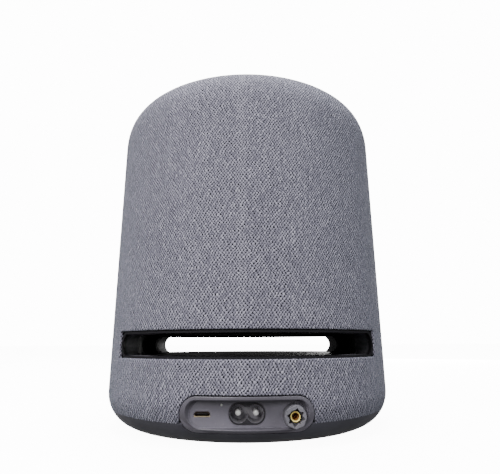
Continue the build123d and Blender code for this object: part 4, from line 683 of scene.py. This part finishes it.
def build_sleeve():
    """Woven sleeve as one sheet with rolled edges at the seam, the slots, the panel and the crest."""
    mesh = bmesh.new()
    weave = mesh.loops.layers.uv.new("weave")
    made = {}
    uv_of = {}

    def vertex(turn, length):
        key = (round((turn % 1.0) * 1e6) % 1000000, round(length * 1e7))
        if key not in made:
            made[key] = mesh.verts.new(sleeve_point(turn, length))
            uv_of[made[key]] = (turn, length)
        return made[key]

    def face(corners):
        """corners are (turn, length) pairs; the weave map keeps them as given, so it never wraps."""
        verts = [vertex(*c) for c in corners]
        if len(set(verts)) < len(verts):
            return
        made_face = mesh.faces.new(verts)
        made_face.smooth = True
        for loop, (turn, length) in zip(made_face.loops, corners):
            loop[weave].uv = (turn * STITCHES_ROUND, length / ROW_PITCH)

    slot_low = length_at(rear_liner_low.z - SLOT_OVERHANG)
    slot_high = length_at(rear_liner_high.z + SLOT_GAP_TOP)
    rear_turn = turn_at(rear_liner_high.x + SLOT_GAP_END + EDGE_ROLL)
    front_turn = turn_at(front_liner_high.x + SLOT_GAP_END + EDGE_ROLL)
    slot_low -= EDGE_ROLL
    slot_high += EDGE_ROLL
    block_turn = turn_at(BLOCK_HALF_WIDTH)
    block_top = slot_low - BLOCK_BELOW_SLOT

    def spaced(marks, pitch):
        """Marks joined by even steps no longer than pitch."""
        places = [marks[0]]
        for a, b in zip(marks, marks[1:]):
            count = max(1, math.ceil((b - a) / pitch - SMALL))
            places += [a + (b - a) * i / count for i in range(1, count + 1)]
        return places

    half_marks = [0.0, block_turn, rear_turn, 0.5 - front_turn, 0.5]
    turns = spaced([-t for t in reversed(half_marks[1:])] + half_marks, 1 / (2 * STITCHES_ROUND))
    shoulder = length_at(BODY_TOP - SHOULDER_DROP)
    lengths = spaced([0.0, block_top, slot_low, slot_high, shoulder, SLEEVE_LENGTH], FACE_HEIGHT)

    def cut_away(turn, length):
        """True inside a slot mouth or the block round the port panel."""
        in_slot = abs(turn) < rear_turn or abs(turn) > 0.5 - front_turn
        if slot_low < length < slot_high and in_slot:
            return True
        return length < block_top and abs(turn) < block_turn

    for t0, t1 in zip(turns, turns[1:]):
        for l0, l1 in zip(lengths, lengths[1:]):
            if not cut_away((t0 + t1) / 2, (l0 + l1) / 2):
                face([(t1, l0), (t0, l0), (t0, l1), (t1, l1)])

    # ring of faces between the port panel's outline and the block round it
    block_turns = [t for t in turns if abs(t) <= block_turn + SMALL]
    block_lengths = [v for v in lengths if v <= block_top + SMALL]
    outer = [(-block_turn, v) for v in block_lengths[:-1]]
    outer += [(t, block_top) for t in block_turns]
    outer += [(block_turn, v) for v in reversed(block_lengths[:-1])]
    half_width = (panel_high.x - panel_low.x) / 2 + PANEL_GAP + EDGE_ROLL
    half_height = (panel_high.z - panel_low.z) / 2 + PANEL_GAP + EDGE_ROLL
    middle_x = (panel_high.x + panel_low.x) / 2
    middle_z = (panel_high.z + panel_low.z) / 2
    straight = half_width - half_height

    def outline(share):
        """Panel outline from the seam on the -X side, over the top, to the seam on the +X side."""
        foot = max(0.0, middle_z - SEAM_Z)
        quarter = math.pi / 2 * half_height
        total = 2 * (foot + quarter + straight)
        walk = share * total
        mirrored = walk > total / 2
        walk = total - walk if mirrored else walk
        if walk < foot:
            x, z = -half_width, SEAM_Z + walk
        elif walk < foot + quarter:
            a = (walk - foot) / half_height
            x, z = -straight - half_height * math.cos(a), middle_z + half_height * math.sin(a)
        else:
            x, z = -straight + (walk - foot - quarter), middle_z + half_height
        return middle_x + (-x if mirrored else x), z

    def to_sheet(x, z):
        """Place on the sheet that stands behind a point of the rear view."""
        length = length_at(z)
        radius = on_profile(length)[0]
        return math.asin(max(-1.0, min(1.0, x / radius))) / (2 * math.pi), length

    walked = [0.0]
    for a, b in zip(outer, outer[1:]):
        walked.append(walked[-1] + math.hypot((b[0] - a[0]) * 2 * math.pi * BODY_R, b[1] - a[1]))
    inner = [to_sheet(*outline(w / walked[-1])) for w in walked]
    for i in range(len(outer) - 1):
        for j in range(BLOCK_RINGS):
            f0, f1 = j / BLOCK_RINGS, (j + 1) / BLOCK_RINGS
            corners = []
            for k, f in ((i, f0), (i, f1), (i + 1, f1), (i + 1, f0)):
                turn = inner[k][0] + (outer[k][0] - inner[k][0]) * f
                length = inner[k][1] + (outer[k][1] - inner[k][1]) * f
                corners.append((turn, length))
            face(list(reversed(corners)))

    roll_edges(mesh, weave, uv_of)
    bmesh.ops.recalc_face_normals(mesh, faces=mesh.faces)
    return finish_mesh(mesh, "woven_sleeve", materials["grey_fabric"])


def roll_edges(mesh, weave, uv_of):
    """Turn every open edge of the sheet over a small round and in towards the housing."""
    border = [e for e in mesh.edges if len(e.link_faces) == 1]
    outward = {}
    for edge in border:
        centre = edge.link_faces[0].calc_center_median()
        along = (edge.verts[1].co - edge.verts[0].co).normalized()
        away = (edge.verts[0].co + edge.verts[1].co) / 2 - centre
        away -= along * away.dot(along)
        for v in edge.verts:
            outward.setdefault(v, Vector())
            outward[v] += away.normalized()
    rows = {}
    for v, away in outward.items():
        turn, length = uv_of[v]
        normal = sleeve_normal(turn, length)
        away = away.normalized()
        away = (away - normal * away.dot(normal)).normalized()
        angle = 2 * math.pi * turn
        round_way = Vector((math.cos(angle), -math.sin(angle), 0.0))
        up_way = normal.cross(round_way)
        if up_way.z < 0:
            up_way = -up_way
        row = [v]
        for i in range(1, ROLL_STEPS + 1):
            a = math.pi / 2 * i / ROLL_STEPS
            inward = normal * EDGE_ROLL * (1 - math.cos(a))
            row.append(mesh.verts.new(v.co + away * EDGE_ROLL * math.sin(a) - inward))
        row.append(mesh.verts.new(row[-1].co - normal * (EDGE_DEPTH - EDGE_ROLL)))
        base = (turn * STITCHES_ROUND, length / ROW_PITCH)
        stitch = 2 * math.pi * BODY_R / STITCHES_ROUND
        slope = (away.dot(round_way) / stitch, away.dot(up_way) / ROW_PITCH)
        reach = [EDGE_ROLL * math.pi / 2 * i / ROLL_STEPS for i in range(ROLL_STEPS + 1)]
        reach.append(reach[-1] + EDGE_DEPTH - EDGE_ROLL)
        rows[v] = (row, [(base[0] + slope[0] * r, base[1] + slope[1] * r) for r in reach])
    for edge in border:
        a, b = edge.verts
        near = edge.link_faces[0]
        shift = {loop.vert: loop[weave].uv.x - uv_of[loop.vert][0] * STITCHES_ROUND for loop in near.loops}
        for i in range(ROLL_STEPS + 1):
            quad = (rows[a][0][i], rows[b][0][i], rows[b][0][i + 1], rows[a][0][i + 1])
            made_face = mesh.faces.new(quad)
            made_face.smooth = True
            places = (rows[a][1][i], rows[b][1][i], rows[b][1][i + 1], rows[a][1][i + 1])
            owners = (a, b, b, a)
            for loop, place, owner in zip(made_face.loops, places, owners):
                loop[weave].uv = (place[0] + shift[owner], place[1])


def finish_mesh(mesh, name, material):
    """Turn a bmesh into an object of the scene with one material."""
    data = bpy.data.meshes.new(name)
    mesh.to_mesh(data)
    mesh.free()
    made = bpy.data.objects.new(name, data)
    bpy.context.scene.collection.objects.link(made)
    data.materials.append(material)
    return made


# =====================================================================================
# Raised marks on the buttons
# =====================================================================================
MARK_REACH = 2.1 * MM
MARK_STROKE = 0.55 * MM
MARK_HEIGHT = 0.12 * MM
MARK_SINK = 0.05 * MM
END_STEPS = 8
RING_STEPS = 48
DOT_STEPS = 24


def bar_outline(length, turn):
    """Round-ended bar about the origin, turned by an angle in radians."""
    half, radius = length / 2 - MARK_STROKE / 2, MARK_STROKE / 2
    points = []
    for end, start in ((half, -90), (-half, 90)):
        for i in range(END_STEPS + 1):
            a = math.radians(start + 180 * i / END_STEPS)
            points.append((end + radius * math.cos(a), radius * math.sin(a)))
    c, d = math.cos(turn), math.sin(turn)
    return [(x * c - y * d, x * d + y * c) for x, y in points]


def ring_outline(radius, count):
    """Circle about the origin."""
    angles = [2 * math.pi * i / count for i in range(count)]
    return [(radius * math.cos(a), radius * math.sin(a)) for a in angles]


def raised_mark(name, button, body, bars=(), rings=(), dots=()):
    """Raised shapes on top of a button, moving with it: bars are (length, turn), the rest radii."""
    low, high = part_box(button)
    centre = Vector(((low.x + high.x) / 2, (low.y + high.y) / 2, high.z))
    mesh = bmesh.new()

    def wall(points, inner=None):
        """Prism over an outline, or a ring between two outlines."""
        bottom = [mesh.verts.new(centre + Vector((x, y, -MARK_SINK))) for x, y in points]
        top = [mesh.verts.new(centre + Vector((x, y, MARK_HEIGHT))) for x, y in points]
        count = len(points)
        for i in range(count):
            j = (i + 1) % count
            mesh.faces.new((bottom[i], bottom[j], top[j], top[i]))
        if inner is None:
            mesh.faces.new(top)
            mesh.faces.new(list(reversed(bottom)))
            return
        inner_bottom = [mesh.verts.new(centre + Vector((x, y, -MARK_SINK))) for x, y in inner]
        inner_top = [mesh.verts.new(centre + Vector((x, y, MARK_HEIGHT))) for x, y in inner]
        for i in range(count):
            j = (i + 1) % count
            mesh.faces.new((inner_bottom[j], inner_bottom[i], inner_top[i], inner_top[j]))
            mesh.faces.new((top[i], top[j], inner_top[j], inner_top[i]))
            mesh.faces.new((bottom[j], bottom[i], inner_bottom[i], inner_bottom[j]))

    for length, turn in bars:
        wall(bar_outline(length, turn))
    for radius in rings:
        wall(ring_outline(radius, RING_STEPS), ring_outline(radius - MARK_STROKE, RING_STEPS))
    for radius in dots:
        wall(ring_outline(radius, DOT_STEPS))
    made = finish_mesh(mesh, name, mark_paint)
    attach(made, body)


def build_marks():
    full = 2 * MARK_REACH
    quarter = math.pi / 2
    raised_mark("mark_volume_up", "button_volume_up", "volume_up", bars=[(full, 0.0), (full, quarter)])
    raised_mark("mark_volume_down", "button_volume_down", "volume_down", bars=[(full, 0.0)])
    raised_mark("mark_action", "button_action", "action", dots=[0.45 * MARK_REACH])
    raised_mark("mark_mute", "button_mute", "mute", rings=[MARK_REACH], bars=[(full, quarter / 2)])


# =====================================================================================
# Stage, lights and camera
# =====================================================================================
FLOOR_SIZE = 40.0
BACKDROP_GLOW = 14.0
FLOOR_GLOW = 11.0
SKY_LEVEL = 0.34
SKY_RISE = 0.18
SKY_SIDE = 0.10


def build_floor():
    """Pale floor that glows a little and throws no light back at the speaker."""
    bpy.ops.mesh.primitive_plane_add(size=FLOOR_SIZE, location=(0, 0, 0))
    floor = bpy.context.object
    floor.name = "floor"
    floor.visible_diffuse = False
    floor.visible_glossy = False
    s = Shader("pale_floor")
    tone = s.mix(s.spread(s.noise(6.0), 0.0, 0.15), (0.90, 0.90, 0.90), (0.86, 0.86, 0.86))
    s.settle(Emission_Color=(1.0, 1.0, 1.0, 1.0), Emission_Strength=FLOOR_GLOW)
    floor.data.materials.append(s.settle(Base_Color=tone, Roughness=0.9, Specular_IOR_Level=0.1))


def build_world():
    """Pale studio that is dimmer as a source of light than it looks."""
    world = bpy.data.worlds.new("studio")
    world.use_nodes = True
    tree = world.node_tree
    background = tree.nodes["Background"]
    place = tree.nodes.new("ShaderNodeTexCoord")
    split = tree.nodes.new("ShaderNodeSeparateXYZ")
    tree.links.new(place.outputs["Generated"], split.inputs[0])
    # brighter overhead and on the +X side, dim where the floor would bounce light back
    high = tree.nodes.new("ShaderNodeMath")
    high.operation = "MULTIPLY_ADD"
    high.inputs[1].default_value = SKY_RISE
    high.inputs[2].default_value = SKY_LEVEL
    tree.links.new(split.outputs["Z"], high.inputs[0])
    side = tree.nodes.new("ShaderNodeMath")
    side.operation = "MULTIPLY_ADD"
    side.use_clamp = True
    side.inputs[1].default_value = SKY_SIDE
    tree.links.new(split.outputs["X"], side.inputs[0])
    tree.links.new(high.outputs[0], side.inputs[2])
    seen = tree.nodes.new("ShaderNodeLightPath")
    strength = tree.nodes.new("ShaderNodeMix")
    strength.data_type = "FLOAT"
    tree.links.new(seen.outputs["Is Camera Ray"], strength.inputs[0])
    tree.links.new(side.outputs[0], strength.inputs[2])
    strength.inputs[3].default_value = BACKDROP_GLOW
    tree.links.new(strength.outputs[0], background.inputs["Strength"])
    background.inputs["Color"].default_value = (1.0, 1.0, 1.0, 1.0)
    bpy.context.scene.world = world


NEUTRAL = (1.0, 1.0, 1.0)
WARM = (1.0, 0.985, 0.99)
COOL = (0.95, 0.97, 1.0)
LIGHT_TARGET = (0.0, 0.0, 0.12)
AREA_LIGHTS = (
    # name, place, width in metres, power in watts, colour
    ("key", (0.55, 0.62, 0.85), 0.8, 16.4, WARM),
    ("low_key", (0.36, 1.10, 0.42), 0.4, 5.0, WARM),
    ("fill", (-0.9, 0.8, 0.62), 0.8, 8.8, COOL),
    ("front", (0.35, -0.75, 1.25), 0.9, 12.0, NEUTRAL),
    ("front_low", (-0.5, -0.95, 0.30), 0.7, 9.0, NEUTRAL),
)
OVERHEAD_STRENGTH = 5.0
OVERHEAD_SPREAD = 35


def area_light(name, place, size, power, colour):
    """Round soft light turned towards the middle of the speaker."""
    light = bpy.data.lights.new(name, "AREA")
    light.shape = "DISK"
    light.size = size
    light.energy = power
    light.color = colour
    made = bpy.data.objects.new(name, light)
    bpy.context.scene.collection.objects.link(made)
    made.location = place
    towards = Vector(LIGHT_TARGET) - Vector(place)
    made.rotation_euler = towards.to_track_quat("-Z", "Y").to_euler()


def build_lights():
    """Soft keys and a fill behind the speaker, two lights in front of it and an overhead wash."""
    for light in AREA_LIGHTS:
        area_light(*light)
    overhead = bpy.data.lights.new("overhead", "SUN")
    overhead.energy = OVERHEAD_STRENGTH
    overhead.angle = math.radians(OVERHEAD_SPREAD)
    made = bpy.data.objects.new("overhead", overhead)
    bpy.context.scene.collection.objects.link(made)


# place in metres, angles in degrees, lens in millimetres
CAMERA_PLACE = (0.0, 0.2881, 0.047)
CAMERA_PITCH = 14.61
CAMERA_YAW = -0.419
CAMERA_ROLL = -0.282
CAMERA_LENS = 29.51
SENSOR_WIDTH = 36.0


def build_camera():
    """Camera low behind the speaker, looking slightly up at its rear."""
    camera = bpy.data.cameras.new("view")
    camera.lens = CAMERA_LENS
    camera.sensor_width = SENSOR_WIDTH
    camera.clip_start = 10 * MM
    made = bpy.data.objects.new("view", camera)
    bpy.context.scene.collection.objects.link(made)
    pitch, yaw, roll = (math.radians(a) for a in (CAMERA_PITCH, CAMERA_YAW, CAMERA_ROLL))
    level_ahead = Vector((math.sin(yaw), -math.cos(yaw), 0.0))
    ahead = level_ahead * math.cos(pitch) + Vector((0.0, 0.0, math.sin(pitch)))
    right = Vector((-math.cos(yaw), -math.sin(yaw), 0.0))
    up = right.cross(ahead)
    turned_right = right * math.cos(roll) + up * math.sin(roll)
    turned_up = up * math.cos(roll) - right * math.sin(roll)
    rows = (turned_right, turned_up, -ahead)
    turned = [[axis[i] for axis in rows] + [CAMERA_PLACE[i]] for i in range(3)]
    made.matrix_world = Matrix(turned + [[0, 0, 0, 1]])
    bpy.context.scene.camera = made


dress_cad_nodes()
sleeve = build_sleeve()
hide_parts("fabric_sleeve")
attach(sleeve, "housing")
build_marks()
build_floor()
build_world()
build_lights()
build_camera()
